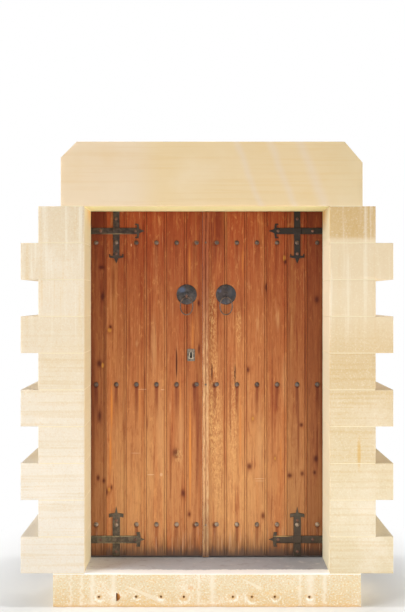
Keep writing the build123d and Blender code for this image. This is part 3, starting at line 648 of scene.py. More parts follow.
def add_soil(colour, above, broad, lines, darkness_and_shade, amount):
    """The splashed foot: a grey wash with ragged, streaky edges, and dark soil at the bottom."""
    ragged = above + (lines - 0.5) * 0.2 + (broad - 0.5) * 0.2
    colour = lay(smooth(ragged, 0.15, 0.04) * (0.7 * amount), colour, stain(1.0, colour, (172, 165, 168)))
    bleached = smooth(lines, 0.54, 0.66) * smooth(above, 0.2, 0.1) * smooth(above, 0.025, 0.06)
    colour = lay(bleached * 0.6, colour, (188, 152, 122))
    shares = [1.0 - 0.9 * darkness_and_shade * (1.0 - share) for share in tone(170, 150, 140)]
    soil = tuple(part * share for part, share in zip(tone(99, 79, 66), shares))
    return lay(smooth(above + (lines - 0.5) * 0.12, 0.072, 0.015) * (0.85 * amount), colour, soil)


print("rows of studs:", len(stud_rows))

# %% [markdown]
# Every board has marks of its own, which the eye soon knows again: knots, streaks of resin,
# drying checks, scratches and patches that have weathered pale. They are listed by kind, with
# their place and their half sizes in millimetres, and laid over the grain one by one.

# %% Mark each board
knot_spread = 1.5
mark_kinds = {
    "knot": (0.1, 0.85, (142, 94, 72), STAIN),
    "eye": (0.35, 0.8, (204, 142, 58)),
    "streak": (0.0, 0.5, (222, 138, 62)),
    "resin": (0.2, 0.75, (226, 142, 60)),
    # A dark mark is a darker streak in the wood, except along the outer boards' edges, where it is
    # painted shade.
    "dark": (0.2, 0.75, (190, 150, 132), STAIN),
    "check": (0.5, 0.95, (112, 74, 60), STAIN),
    "pale": (0.3, 0.7, (230, 176, 110)),
    "faded": (0.0, 0.45, (222, 166, 108)),
    "scratch": (0.6, 0.6, (232, 190, 146)),
}


def add_marks(place, colour, marks, seed):
    """Lays the board's own knots, streaks and scratches over its grain. A kind of mark has its
    hard middle, amount, colour and, for a stain, the blend. Pale weathering is broken up into
    flecks, and a knot has a soft halo."""
    flecks = smooth(grain(place, (130.0, 60.0, 52.0), 4.0, 0.75, seed, 0.3), 0.42, 0.64)
    for kind, across, above, half_width, half_height in marks:
        x, z = across * MM, tread + above * MM
        spread = knot_spread if kind == "knot" else 1.0
        middle, amount, shade, *blend = mark_kinds[kind]
        shape = spot(place, x, z, spread * half_width * MM, spread * half_height * MM, middle)
        if kind == "pale":
            shape = shape * flecks
        if kind in ("knot", "eye"):
            halo = spot(place, x, z, 2.4 * half_width * MM, 2.6 * half_height * MM, 0.1)
            colour = stain(halo * 0.5, colour, (196, 148, 118))
        colour = lay(shape * amount, colour, shade, *blend)
    return colour


# Each board has its darkness, partly painted shade of the reveals on the outer boards, its redness, the
# strength of its soil, and its marks.
board_looks = {
    # On left_board_1 the dark marks along the leaf's outer edge and at its top are painted shade of the
    # reveal.
    "left_board_1": (0.73, 0.25, 0.65, (
        ("knot", -598, 1644, 15, 11), ("knot", -591, 1478, 10, 24), ("knot", -610, 1098, 13, 20),
        ("eye", -590, 1088, 10, 20), ("knot", -616, 450, 9, 16), ("knot", -584, 433, 8, 13),
        ("knot", -608, 800, 10, 34), ("dark", -648, 800, 26, 700), ("dark", -628, 1930, 60, 190),
    )),
    "left_board_2": (0.15, 0.25, 1.0, (
        ("resin", -540, 860, 10, 190), ("resin", -546, 600, 9, 170), ("eye", -551, 1288, 16, 18),
        ("knot", -546, 1306, 7, 10), ("eye", -554, 383, 11, 17), ("knot", -568, 368, 7, 20),
        ("knot", -540, 396, 5, 14), ("dark", -530, 1560, 16, 160),
    )),
    "left_board_3": (0.0, 0.4, 0.82, (
        ("scratch", -402, 590, 34, 2), ("dark", -440, 1250, 9, 320), ("streak", -380, 900, 8, 260),
        ("scratch", -428, 1770, 4, 10), ("faded", -397, 1211, 12, 30), ("dark", -352, 1000, 8, 130),
        ("scratch", -356, 952, 44, 2),
    )),
    "left_board_4": (0.0, 0.25, 0.84, (
        ("scratch", -318, 468, 24, 4), ("faded", -262, 700, 30, 460), ("dark", -322, 1300, 10, 300),
        ("scratch", -258, 468, 9, 12), ("dark", -338, 760, 9, 60), ("faded", -300, 1200, 24, 240),
        ("scratch", -250, 950, 14, 3),
    )),
    "left_board_5": (0.2, 0.5, 1.0, (
        ("check", -171, 1102, 6, 112), ("knot", -134, 363, 11, 22), ("dark", -205, 520, 9, 300),
        ("streak", -150, 900, 7, 210), ("knot", -176, 590, 20, 26), ("pale", -160, 575, 34, 60),
        ("faded", -208, 850, 8, 60), ("faded", -146, 700, 24, 300),
    )),
    "left_board_6": (0.28, 0.6, 1.0, (
        ("resin", -94, 590, 11, 420), ("knot", -46, 1441, 7, 16), ("knot", -98, 243, 8, 14),
        ("dark", -52, 760, 16, 520), ("dark", -108, 1300, 6, 420), ("streak", -98, 1660, 12, 180),
        ("streak", -80, 1240, 12, 200), ("knot", -44, 1180, 6, 30),
    )),
    "right_board_6": (0.13, 0.25, 1.0, (
        ("pale", 36, 860, 50, 620), ("pale", 66, 560, 40, 500), ("check", 30, 1050, 5, 60),
        ("pale", 30, 1380, 34, 220), ("streak", 46, 1850, 6, 120), ("dark", 62, 1400, 8, 260),
        ("pale", 30, 740, 26, 200), ("dark", 4, 700, 6, 500), ("dark", 60, 1880, 62, 230),
    )),
    "right_board_5": (0.0, 0.25, 1.0, (
        ("streak", 204, 1673, 9, 128), ("check", 160, 1040, 6, 70), ("pale", 150, 760, 40, 460),
        ("streak", 190, 700, 12, 360), ("pale", 180, 1300, 24, 160), ("dark", 134, 900, 10, 300),
    )),
    "right_board_4": (0.02, 0.25, 1.0, (
        ("knot", 234, 1063, 9, 16), ("knot", 243, 515, 14, 18), ("eye", 262, 786, 10, 15),
        ("knot", 319, 235, 10, 18), ("knot", 339, 1531, 11, 24), ("faded", 300, 620, 26, 360),
        ("faded", 288, 1320, 12, 60), ("scratch", 300, 445, 40, 2), ("scratch", 302, 432, 36, 2),
    )),
    "right_board_3": (0.11, 0.5, 1.0, (
        ("knot", 336, 1888, 11, 12), ("eye", 441, 1696, 12, 22), ("knot", 446, 1676, 8, 12),
        ("dark", 372, 900, 9, 420), ("streak", 420, 560, 8, 240), ("faded", 402, 1350, 16, 90),
        ("eye", 388, 560, 8, 14), ("faded", 440, 1000, 22, 240),
    )),
    "right_board_2": (0.5, 0.25, 1.15, (
        ("knot", 471, 463, 13, 13), ("knot", 541, 474, 9, 14), ("knot", 537, 750, 10, 12),
        ("dark", 560, 1150, 7, 420), ("dark", 520, 700, 10, 300),
    )),
    # On right_board_1 the dark mark along the leaf's outer edge is painted shade of the reveal.
    "right_board_1": (0.86, 0.25, 1.15, (
        ("knot", 624, 1461, 12, 20), ("knot", 619, 558, 12, 18), ("dark", 627, 620, 8, 260),
        ("dark", 655, 900, 18, 800), ("knot", 612, 480, 8, 12),
    )),
}
print("marks on the boards:", sum(len(board[-1]) for board in board_looks.values()))

# %% [markdown]
# Now the boards can be finished: the grain first, then the board's own tone, its marks, the drips and the
# soil. Last come the dirt and painted shade in the joints and the bare, paler back, which only the depth
# of a point tells from the front.

# %% Finish the boards
joint_bead = 11 * MM
joint_quirk = 3 * MM
tongue_length = 8 * MM


def board_finish(name, left, right, seed, darkness_and_shade, redness, soil, marks):
    """The stained wood of one board, between its left and right edge."""
    finish, place = new_finish(name, 0.56, gloss=0.25)
    x, y, z = axes(place)
    above = z - tread
    sway = (grain(place, (3.0, 1.0, 0.9), 2.0, 0.5, seed) - 0.5) * 0.2
    colour, broad, lines, relief = board_grain(place, stain_and_shade_by_height(above + sway), seed)
    colour = stain(redness, colour, (246, 214, 196))
    colour = stain(darkness_and_shade, colour, (170, 150, 140))
    colour = add_marks(place, colour, marks, seed)
    colour = add_drips(place, colour, (left + right) / 2, lines)
    colour = add_soil(colour, above, broad, lines, darkness_and_shade, soil)
    # The quirk and the board's edges are stained darker: dirt in the joints and painted shade in the
    # grooves.
    quirk = x.math("ABSOLUTE", x - (right - joint_bead - joint_quirk / 2))
    colour = stain(smooth(quirk, 3 * MM, 1 * MM) * 0.25, colour, (160, 126, 110))
    joint_grime_and_shade = x.math("MAXIMUM", smooth(x, left + 4 * MM, left), smooth(x, right - 3 * MM, right))
    colour = stain(joint_grime_and_shade * 0.35, colour, (170, 138, 122))
    behind = smooth(y, board_back - 2 * MM, board_back - 1 * MM)
    bare = stain(1.0, (176, 112, 68), lay(lines, (200, 190, 180), (255, 255, 255)))
    colour = lay(behind * 0.8, colour, bare)
    return finished(finish, colour, relief, 1.0 * MM, smooth(lines, 0.2, 0.8) * 0.16 + 0.5)


for number, (name, (darkness_and_shade, redness, soil, marks)) in enumerate(board_looks.items()):
    low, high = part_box(name)
    right_edge = high.x - (0.0 if name in ("left_board_6", "right_board_1") else tongue_length)
    wood = board_finish(name + "_wood", low.x, right_edge, 1.0 + number, darkness_and_shade, redness, soil, marks)
    for holder in nodes[name].material_slots:
        holder.material = wood
print("boards finished:", len(board_looks))

# %% [markdown]
# The cover strip, the ledges and the frame are the same softwood with less weather. The strip
# has been rubbed pale by hands, and its groove holds dirt. The ledges and the frame stand
# inside, so they keep an even brown.

# %% Make the plain wood
def plain_wood(name, base, dark, seed, along="z"):
    finish, place = new_finish(name, 0.6, gloss=0.3)
    scales = {"z": (60.0, 60.0, 1.4), "x": (1.4, 60.0, 60.0)}
    lines = grain(place, scales[along], 4.0, 0.6, seed, 0.3)
    broad = grain(place, [value * 0.2 for value in scales[along]], 2.0, 0.5, seed)
    colour = lay(smooth(lines, 0.35, 0.65), dark, base)
    colour = stain(smooth(broad, 0.35, 0.7) * 0.5, colour, (220, 190, 170))
    return finished(finish, colour, lines, 0.8 * MM)


def strip_finish():
    finish, place = new_finish("strip_wood", 0.58, gloss=0.25)
    low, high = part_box("meeting_strip")
    x, y, z = axes(place)
    lines = grain(place, (120.0, 90.0, 1.6), 3.0, 0.6, 4.0, 0.2)
    flecks = grain(place, (150.0, 90.0, 26.0), 3.0, 0.7, 6.0)
    above = z - tread
    weathered = smooth(above, 0.8 * opening_height, 0.5 * opening_height)
    off = x.math("ABSOLUTE", x - (low.x + high.x) / 2)
    # The strip darkens towards the top like the boards, partly as painted shade of the lintel.
    faded = smooth(above, 0.9 * opening_height, 0.35 * opening_height)
    colour = layers(lay(faded, (160, 86, 50), (224, 171, 118)), (
        (lines, 0.52, 0.32, 0.6, (206, 170, 150), STAIN),
        (lines, 0.55, 0.75, 0.4, (224, 178, 132)),
        (flecks, 0.52, 0.66, weathered * 0.5, (246, 208, 152)),
        (flecks, 0.47, 0.34, 0.7, (204, 164, 136), STAIN),
        (above, 0.45, 0.1, 1.0, (212, 212, 214), STAIN),
        (off, 5 * MM, 3 * MM, 0.35, (160, 118, 92), STAIN),
        (y, low.y + 4 * MM, high.y, 0.8, (170, 130, 108), STAIN),
        (above + (lines - 0.5) * 0.05, 0.07, 0.012, 0.8, (118, 90, 72)),
    ))
    return finished(finish, colour, lines, 0.8 * MM)


strip_wood = strip_finish()
ledge_wood = plain_wood("ledge_wood", (172, 118, 76), (132, 82, 50), 2.0, "x")
post_wood = plain_wood("frame_post_wood", (158, 110, 74), (118, 76, 48), 5.0, "z")
head_wood = plain_wood("frame_head_wood", (158, 110, 74), (118, 76, 48), 8.0, "x")
print("plain woods ready")

# %% [markdown]
# Forged iron isn't bright. Its scale is brown-black with an olive or bluish cast where it was
# waxed, rougher than polished steel, and rubbed to a warmer, coppery brown on the heads of
# rivets. One finish with small changes of colour serves all of it; what differs is how dark
# and how blue each piece is.

# %% Make the iron and the steel
def iron_finish(name, dark, light, cast, roughness=0.5, metallic=0.55, wear=0.35,
                level=0.0, tints_and_highlights=(), dust=None):
    """Forged metal: dark and light scale in clouds, and a cast of another colour in patches.
    Each touch is an oval of another colour, a darker patch or a painted highlight along a strap's edge or
    on a plate: its place across and above the level, its two half sizes, colour and amount. Dust is the
    colour that the lowest ironwork takes from splashes."""
    finish, place = new_finish(name, roughness, metallic)
    cloud = grain(place, 46.0, 4.0, 0.6, 1.0)
    patch = grain(place, 13.0, 3.0, 0.5, 6.0)
    pits = grain(place, 210.0, 2.0, 0.6)
    colour = lay(smooth(cloud, 0.35, 0.7), dark, light)
    colour = lay(smooth(patch, 0.5, 0.7) * wear, colour, cast)
    for across, above, half_width, half_height, shade, amount in tints_and_highlights:
        broken = smooth(cloud, 0.25, 0.5) * amount
        oval = spot(place, across * MM, level + above * MM, half_width * MM, half_height * MM, 0.3)
        colour = lay(oval * broken, colour, shade)
    if dust:
        low = smooth(axes(place, "z")[0], tread + 500 * MM, tread + 250 * MM)
        colour = lay(low * smooth(cloud, 0.3, 0.6) * 0.7, colour, dust)
    rough = smooth(cloud, 0.2, 0.8) * -0.14 + (roughness + 0.07)
    return finished(finish, colour, cloud * 0.7 + pits * 0.3, 1.2 * MM, rough)


plate_level = tread + 1490 * MM
# The thin pale lines along the straps' edges, olive on the lower crosses, are painted highlights; the
# broad dark ovals darken the right crosses.
olive_highlight = (168, 152, 112)
upper_tints_and_highlights = ((-513, -17, 110, 4, (150, 128, 96), 0.7), (513, 0, 500, 500, (40, 34, 29), 0.85))
lower_tints_and_highlights = (
    (-513, 19, 150, 4, olive_highlight, 0.8), (-513, -19, 130, 4, olive_highlight, 0.6),
    (513, 0, 240, 300, (60, 48, 38), 0.75), (423, 19, 70, 4, (206, 166, 104), 0.8),
)
# The bluish ovals at the upper left of each plate are painted highlights; the other ovals are darker or
# warmer patches.
plate_tints_and_highlights = (
    (-140, 26, 26, 22, (86, 98, 122), 0.7), (88, 0, 62, 62, (70, 58, 54), 0.7),
    (72, 20, 16, 14, (96, 96, 116), 0.6), (-114, -12, 11, 15, (158, 112, 88), 0.8),
    (-92, -22, 16, 12, (120, 104, 92), 0.6),
)
upper_iron = iron_finish("upper_strap_iron", (52, 40, 33), (84, 68, 56), (66, 74, 66),
                         level=upper_arm, tints_and_highlights=upper_tints_and_highlights)
lower_iron = iron_finish("lower_strap_iron", (76, 64, 50), (112, 96, 74), (92, 94, 70),
                         level=lower_arm, tints_and_highlights=lower_tints_and_highlights)
stud_iron = iron_finish("stud_iron", (80, 64, 54), (124, 102, 86), (104, 104, 102), 0.58, 0.35,
                        dust=(178, 156, 130))
rivet_iron = iron_finish("rivet_iron", (90, 62, 50), (136, 96, 76), (104, 90, 78), 0.52, 0.4)
plate_iron = iron_finish("knocker_plate_iron", (46, 41, 39), (84, 74, 68), (70, 76, 86), 0.46, 0.45,
                         level=plate_level, tints_and_highlights=plate_tints_and_highlights)
ring_iron = iron_finish("knocker_ring_iron", (78, 62, 52), (128, 104, 86), (104, 96, 90), 0.5, 0.4)
back_iron = iron_finish("hinge_iron", (46, 42, 40), (78, 72, 68), (84, 66, 54), 0.52)
lock_black = iron_finish("lock_black", (34, 33, 33), (52, 50, 50), (70, 60, 54), 0.5, 0.2, 0.2)
bolt_steel = iron_finish("bolt_steel", (120, 116, 112), (158, 154, 150), (120, 100, 84), 0.38, 0.8, 0.3)
print("metals ready")

# %% [markdown]
# The keyhole plate is grey-brown, with a paler rubbed lip around the keyhole and a dirty
# border. The lip stands proud of the plate, so its front is found by depth alone.

# %% Make the keyhole plate's finish
def escutcheon_finish():
    finish, place = new_finish("escutcheon_steel", 0.48, 0.5)
    low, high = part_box("escutcheon")
    x, y = axes(place, "xy")
    cloud = grain(place, 70.0, 3.0, 0.6, 2.0)
    colour = lay(smooth(cloud, 0.35, 0.7), (98, 86, 74), (140, 124, 106))
    lip = smooth(y, low.y + 1.2 * MM, low.y + 0.4 * MM)
    colour = lay(lip * 0.8, colour, (196, 178, 152))
    edge = place.math("MAXIMUM", smooth(x, low.x + 4 * MM, low.x), smooth(x, high.x - 4 * MM, high.x))
    colour = stain(edge * 0.7, colour, (150, 130, 116))
    return finished(finish, colour, cloud, 0.8 * MM)


keyhole_steel = escutcheon_finish()
print("keyhole plate finish:", keyhole_steel.name)

# %% [markdown]
# A finished piece always ends the same way: it becomes a mesh, gets its material, rides on its body and
# hides the pieces of the model that it stands for. The model's own mesh is loose triangles, so a copy is
# welded and its flat faces are joined before anything is shaped.

# %% Share the ways to start and finish a piece
WELD = 0.00001
SHARP = math.radians(30.0)


def welded_copy(node):
    """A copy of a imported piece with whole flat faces, ready for shaping."""
    shape = bmesh.new()
    shape.from_mesh(nodes[node].data)
    bmesh.ops.remove_doubles(shape, verts=shape.verts, dist=WELD)
    bmesh.ops.dissolve_limit(shape, angle_limit=math.radians(0.6), verts=shape.verts, edges=shape.edges)
    return shape


def finish_piece(shape, name, material, body, stands_for=(), smooth_below=32.0):
    """Turns a shape into a piece: smooth where it bends gently, riding on its body."""
    limit = math.radians(smooth_below)
    for panel in shape.faces:
        panel.smooth = True
    for edge in shape.edges:
        edge.smooth = edge.calc_face_angle(math.pi) < limit
    mesh = bpy.data.meshes.new(name)
    shape.to_mesh(mesh)
    shape.free()
    mesh.materials.append(material)
    piece = add_object(name, mesh)
    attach(piece, body)
    if stands_for:
        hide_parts(*stands_for)
    print(name, "faces", len(mesh.polygons))
    return piece


def only(kind, items):
    """Those items that are of one kind, such as the points among what an extrusion adds."""
    return [item for item in items if isinstance(item, kind)]


def cut_grid(shape, low, high, spacing):
    """Cuts a shape into even strips along each axis, so that its faces can be worn."""
    for axis in range(3):
        count = max(1, round((high[axis] - low[axis]) / spacing[axis]))
        direction = Vector([1.0 if number == axis else 0.0 for number in range(3)])
        for step in range(1, count):
            point = low.copy()
            point[axis] = low[axis] + (high[axis] - low[axis]) * step / count
            everything = shape.verts[:] + shape.edges[:] + shape.faces[:]
            bmesh.ops.bisect_plane(shape, geom=everything, dist=WELD, plane_co=point, plane_no=direction)


def round_edges(shape, edges, width):
    bmesh.ops.bevel(shape, geom=edges, offset=width, offset_type="OFFSET", affect="EDGES", segments=2,
                    profile=0.5, material=-1, clamp_overlap=True)


def soften(shape, width):
    """Rounds every sharp edge by the same width."""
    round_edges(shape, [edge for edge in shape.edges if edge.calc_face_angle(0.0) > SHARP], width)


def softened(node, name, material, body, width):
    """A piece that keeps its shape and only has its edges eased."""
    shape = welded_copy(node)
    soften(shape, width)
    return finish_piece(shape, name, material, body, (node,))


print("helpers ready")

# %% [markdown]
# A sawn block is never quite flat and its arrises are chipped. The worn blocks are made from
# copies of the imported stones: the arrises are rounded, the block is cut into a grid, and the
# points are pressed in a little by noise, most at the arrises. The points only move level,
# so the beds between the blocks stay tight and no light shows through.

# %% Wear the quoins and the lintel
arris_round = 1.0 * MM
face_wear = 0.5 * MM
chip_depth = 2.4 * MM
swell_scale = 9.0
bite_scale = 34.0
bite_start = 0.22
ARRIS = math.radians(15.0)
block_grid = (0.022, 0.034, 0.022)


def press_in(shape, seed):
    """Presses the points of a block level in by noise, more along its arrises."""
    shape.normal_update()
    for point in shape.verts:
        bends = [edge.calc_face_angle(0.0) for edge in point.link_edges]
        swell = noise.noise(point.co * swell_scale + Vector((seed, 0.0, 0.0)))
        depth = face_wear * (0.5 + 0.5 * swell)
        if max(bends, default=0.0) > ARRIS:
            bite = noise.noise(point.co * bite_scale + Vector((0.0, seed, 0.0)))
            depth += chip_depth * max(0.0, bite - bite_start)
        point.co -= Vector((point.normal.x, point.normal.y, 0.0)) * depth


def worn_block(node, name, material, seed, grid=block_grid):
    low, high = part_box(node)
    block = welded_copy(node)
    soften(block, arris_round)
    cut_grid(block, low, high, grid)
    press_in(block, seed)
    return finish_piece(block, name, material, "frame", (node,))


for side, hand in hands:
    for number in range(1, course_count + 1):
        node = f"{hand}_quoin_{number:02d}"
        worn_block(node, f"{hand}_block_{number:02d}", quoin_finishes[side], side * number)
worn_block("lintel", "lintel_block", lintel_stone, 31.0, (0.03, 0.034, 0.026))

# %% [markdown]
# The blind holes in the sill sit in shallow dished scoops, as if the stone had spalled round
# them. Each scoop is pressed into the same gridded face, deepest at its middle, and a little
# to one side of its hole. The tread is worn down by a couple of millimetres where people
# step, and the front has crumbled a little along the ground.

# %% Wear the sill
scoops = (
    (-578, 40, 5.0), (-379, 44, 7.0), (-246, 42, 7.0), (-124, 40, 5.0),
    (139, 42, 6.0), (240, 44, 6.0), (363, 46, 7.0), (547, 38, 4.0), (-485, 46, 3.0),
)
scoop_rise = 3 * MM
front_fade = 12 * MM
tread_wear = 2.5 * MM
tread_margin = 12 * MM
tread_run = 120 * MM
base_wear = 7.0 * MM
base_height = 30 * MM


def worn_sill():
    sill = welded_copy("threshold")
    soften(sill, arris_round)
    cut_grid(sill, sill_low, sill_high, (0.011, 0.03, 0.011))
    press_in(sill, 47.0)
    for point in sill.verts:
        front = max(0.0, 1.0 - (point.co.y - face) / front_fade)
        for across, radius, depth in scoops:
            offset = Vector((point.co.x - across * MM, point.co.z - hole_height - scoop_rise))
            away = offset.length / (radius * MM)
            if away < 1.0 and front > 0.0:
                point.co.y += depth * MM * front * (1.0 - away * away) ** 1.5
        low_edge = max(0.0, 1.0 - point.co.z / base_height) * front
        if low_edge > 0.0:
            ragged = noise.noise(Vector((point.co.x * 11.0, 0.0, 3.0)))
            ragged += 0.5 * noise.noise(point.co * 40.0)
            point.co.y += base_wear * low_edge * max(0.0, ragged + 0.35)
        if point.co.z > tread - 1 * MM and abs(point.co.x) < half_opening - tread_margin:
            hollow = 1.0 - (point.co.x / half_opening) ** 2
            near = max(0.0, min(1.0, (stop - tread_margin - point.co.y) / tread_run))
            point.co.z -= tread_wear * hollow * near
    return finish_piece(sill, "worn_sill", sill_stone, "frame", ("threshold",), 50.0)


worn_sill()

# %% [markdown]
# The joints are thin and flush, filled with a pale yellowish mortar. Each groove between two
# blocks gets one bar along the face and one along the reveal. They lie just behind the face,
# because a mortar joint that stands proud would catch the light the wrong way.

# %% Fill the joints
mortar_height = 4.4 * MM
mortar_inset = 0.8 * MM
mortar_depth = 2.4 * MM
mortar_lining = 1.6 * MM
mortar_short = 4 * MM


def add_bar(shape, low, high):
    """Adds a plain bar between two opposite corners."""
    low, high = Vector(low), Vector(high)
    size = high - low
    spread = Matrix.Diagonal((abs(size.x), abs(size.y), abs(size.z), 1.0))
    matrix = Matrix.Translation((low + high) / 2) @ spread
    return bmesh.ops.create_cube(shape, size=1.0, matrix=matrix)["verts"]


def mortar_finish():
    finish, place = new_finish("mortar", 0.9)
    speckle = grain(place, 90.0, 3.0, 0.6)
    return finished(finish, lay(speckle, (232, 214, 172), (246, 234, 206)), speckle, 0.8 * MM)


joints = bmesh.new()
for side, hand in hands:
    end = 0 if side < 0 else 1
    quoins = [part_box(f"{hand}_quoin_{number:02d}") for number in range(1, course_count + 1)]
    outer = [abs(corners[end].x) for corners in quoins]
    reach = [min(abs((lintel_low, lintel_high)[end].x), outer[0])]
    reach += [min(pair) for pair in zip(outer, outer[1:])] + [min(sill_high.x, outer[-1])]
    for number, length in enumerate(reach):
        level = soffit - number * course
        start = half_opening + mortar_inset
        top = level + mortar_height / 2
        corner = (side * start, face + mortar_inset, level - mortar_height / 2)
        add_bar(joints, corner, (side * (length - mortar_short), face + mortar_depth, top))
        add_bar(joints, corner, (side * (start + mortar_lining), stop, top))
finish_piece(joints, "mortar_joints", mortar_finish(), "frame")

# %% [markdown]
# A forged stud is a domed head with a square shank. The head could be half a sphere, but a
# spun profile gives the slightly flattened dome and the thin rim of the real ones. It is
# stamped where it is wanted, turned, tilted and scaled a little by seeded noise, and dented.

# %% Prepare the forged heads
stud_radius = 12.5 * MM
stud_height = 9.0 * MM
shank_size = 7.0 * MM
tail_length = 22.0 * MM
tail_thickness = 4.0 * MM
iron_thickness = 5.0 * MM


def turned(profile, steps):
    """A mesh turned from pairs of radius and rise, its axis towards the viewer."""
    shape = bmesh.new()
    points = [shape.verts.new((radius, -rise, 0.0)) for radius, rise in profile]
    line = [shape.edges.new(pair) for pair in zip(points, points[1:])]
    bmesh.ops.spin(shape, geom=points + line, cent=(0, 0, 0), axis=(0, 1, 0), dvec=(0, 0, 0),
                   angle=2 * math.pi, steps=steps, use_merge=True, use_duplicate=False)
    bmesh.ops.remove_doubles(shape, verts=shape.verts, dist=WELD)
    bmesh.ops.recalc_face_normals(shape, faces=shape.faces)
    mesh = bpy.data.meshes.new("template")
    shape.to_mesh(mesh)
    shape.free()
    return mesh


def stamp(shape, template, matrix):
    """Adds a copy of a template in its place, and returns its new points."""
    known = set(shape.verts)
    shape.from_mesh(template)
    fresh = [point for point in shape.verts if point not in known]
    bmesh.ops.transform(shape, matrix=matrix, verts=fresh)
    return fresh


def dome_profile(radius, height):
    shares = ((0.0, 0.0), (1.0, 0.0), (1.0, 0.16), (0.9, 0.46), (0.7, 0.74), (0.4, 0.94), (0.0, 1.0))
    return [(radius * out, height * up) for out, up in shares]


def forged_place(place, seed, tilt=0.05):
    """A place with the small turn, tilt and change of size that a hammer leaves."""
    chance = [noise.noise(Vector((seed * 1.7, number * 3.1, 0.5))) for number in range(4)]
    turn = Matrix.Rotation(chance[0] * math.pi, 4, "Y")
    lean = Matrix.Rotation(chance[1] * tilt, 4, "X") @ Matrix.Rotation(chance[2] * tilt, 4, "Z")
    grow = 1.0 + 0.07 * chance[3]
    return Matrix.Translation(place) @ lean @ turn @ Matrix.Diagonal((grow, 1.0, 2.0 - grow, 1.0))


def hammer(points, depth, fineness, seed):
    """Dents fresh points a little towards the wood."""
    for point in points:
        point.co.y += depth * max(0.0, noise.noise(point.co * fineness + Vector((seed, seed, 0.0))))


stud_head = turned(dome_profile(stud_radius, stud_height), 16)
nail_head = turned(dome_profile(5.5 * MM, 3.0 * MM), 10)
print("points on a stud's head:", len(stud_head.vertices))

# %% [markdown]
# The shank of each stud goes through the board and the ledge, and its tail is hammered flat on
# the back. In the rows of the hinges it goes through their bands too, and where a stud meets a
# cross it sits on the strap. Three nails hold the cover strip.

# %% Forge the studs
rows = [tread + row for row, run, strength in stud_rows]
band_end = min(abs(corner.x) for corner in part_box("right_hinge_bands"))
band_back = ledge_back + iron_thickness


def add_shank(shape, x, z, seat, clench):
    """The square shank with its tail bent down and hammered on the back."""
    half = shank_size / 2
    add_bar(shape, (x - half, seat, z - half), (x + half, clench, z + half))
    tail_end = (x + half, clench + tail_thickness, z + half)
    tail = add_bar(shape, (x - half, clench, z + half - tail_length), tail_end)
    middle = clench + tail_thickness / 2
    edges = {edge for point in tail for edge in point.link_edges}
    rear = [edge for edge in edges if all(point.co.y > middle for point in edge.verts)]
    round_edges(shape, rear, 1.4 * MM)


strip_low, strip_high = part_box("meeting_strip")

for side, hand in hands:
    studs = bmesh.new()
    for row_number, row in enumerate(rows):
        for column in columns:
            hinge_row = row_number != 1
            seat = board_front - (iron_thickness if hinge_row and column == cross_x else 0.0)
            clench = band_back if hinge_row and column > band_end else ledge_back
            add_shank(studs, side * column, row, seat, clench)
            seed = column * 97.0 + row_number * 5.3 + side
            head = stamp(studs, stud_head, forged_place((side * column, seat, row), seed))
            hammer(head, 1.4 * MM, 120.0, seed)
        if side > 0:
            strip_x = (strip_low.x + strip_high.x) / 2
            add_shank(studs, strip_x, row, strip_low.y, ledge_back)
            stamp(studs, nail_head, Matrix.Translation((strip_x, strip_low.y, row)))
    finish_piece(studs, f"{hand}_forged_studs", stud_iron, f"{hand}_leaf",
                 (f"{hand}_studs",), 42.0)

# %% [markdown]
# The crosses are cut from strap iron about five millimetres thick. Their edges were dressed
# with a hammer, so they waver and catch the light. The welded copy is softened along every
# edge, cut across every twelve millimetres and dented. The barbs of the lower crosses sit
# well below their spikes, so they are let down a little. The rivets are domes of their own,
# because they are rubbed to a warmer brown than the straps.

# %% Dress the cross straps
rivet_radius = 8.6 * MM
rivet_height = 4.4 * MM
rivet_outer = 88 * MM
rivet_inner = 108 * MM
rivet_end = 68 * MM
rivet_free = {-1: 129 * MM, 1: 109 * MM}
strap_finishes = (lower_iron, upper_iron)
bar_low = lower_arm + 139 * MM
bar_high = lower_arm + 167 * MM
tip_height = lower_arm + 182 * MM
bar_drop = 13 * MM
dent_depth, dent_scale = 0.9 * MM, 55.0
waver_width, waver_scale = 0.8 * MM, 40.0


def cross_half(node, up):
    """The lower or upper cross of a leaf, as a shape of its own."""
    shape = welded_copy(node)
    middle_height = (tread + soffit) / 2
    away = [point for point in shape.verts if (point.co.z > middle_height) == (up > 0)]
    bmesh.ops.delete(shape, geom=away, context="VERTS")
    return shape


def bar_share(z):
    """How far a point follows the lower cross's bar, which sits a little below its spike."""
    below = (z - bar_low + 60 * MM) / (60 * MM)
    above = (tip_height - z) / (tip_height - bar_high)
    return max(0.0, min(1.0, below, above))


def dress_cross(side, hand, up):
    name = f"{hand}_{'lower' if up > 0 else 'upper'}_cross"
    shape = cross_half(f"{hand}_cross_straps", up)
    soften(shape, 0.9 * MM)
    low = Vector([min(point.co[axis] for point in shape.verts) for axis in range(3)])
    high = Vector([max(point.co[axis] for point in shape.verts) for axis in range(3)])
    cut_grid(shape, low, high, (0.012, 1.0, 0.012))
    for point in shape.verts:
        if point.co.y < board_front - 1 * MM:
            seed = Vector((side * 3.0, up, 0.0))
            point.co.y += dent_depth * abs(noise.noise(point.co * dent_scale + seed))
            point.co.x += waver_width * noise.noise(point.co * waver_scale + seed * 2.0)
            point.co.z += waver_width * noise.noise(point.co * waver_scale - seed * 2.0)
        if up > 0:
            point.co.z -= bar_drop * bar_share(point.co.z)
    material = strap_finishes[0 if up > 0 else 1]
    return finish_piece(shape, name, material, f"{hand}_leaf",
                        (f"{hand}_cross_straps",) if up > 0 else ())


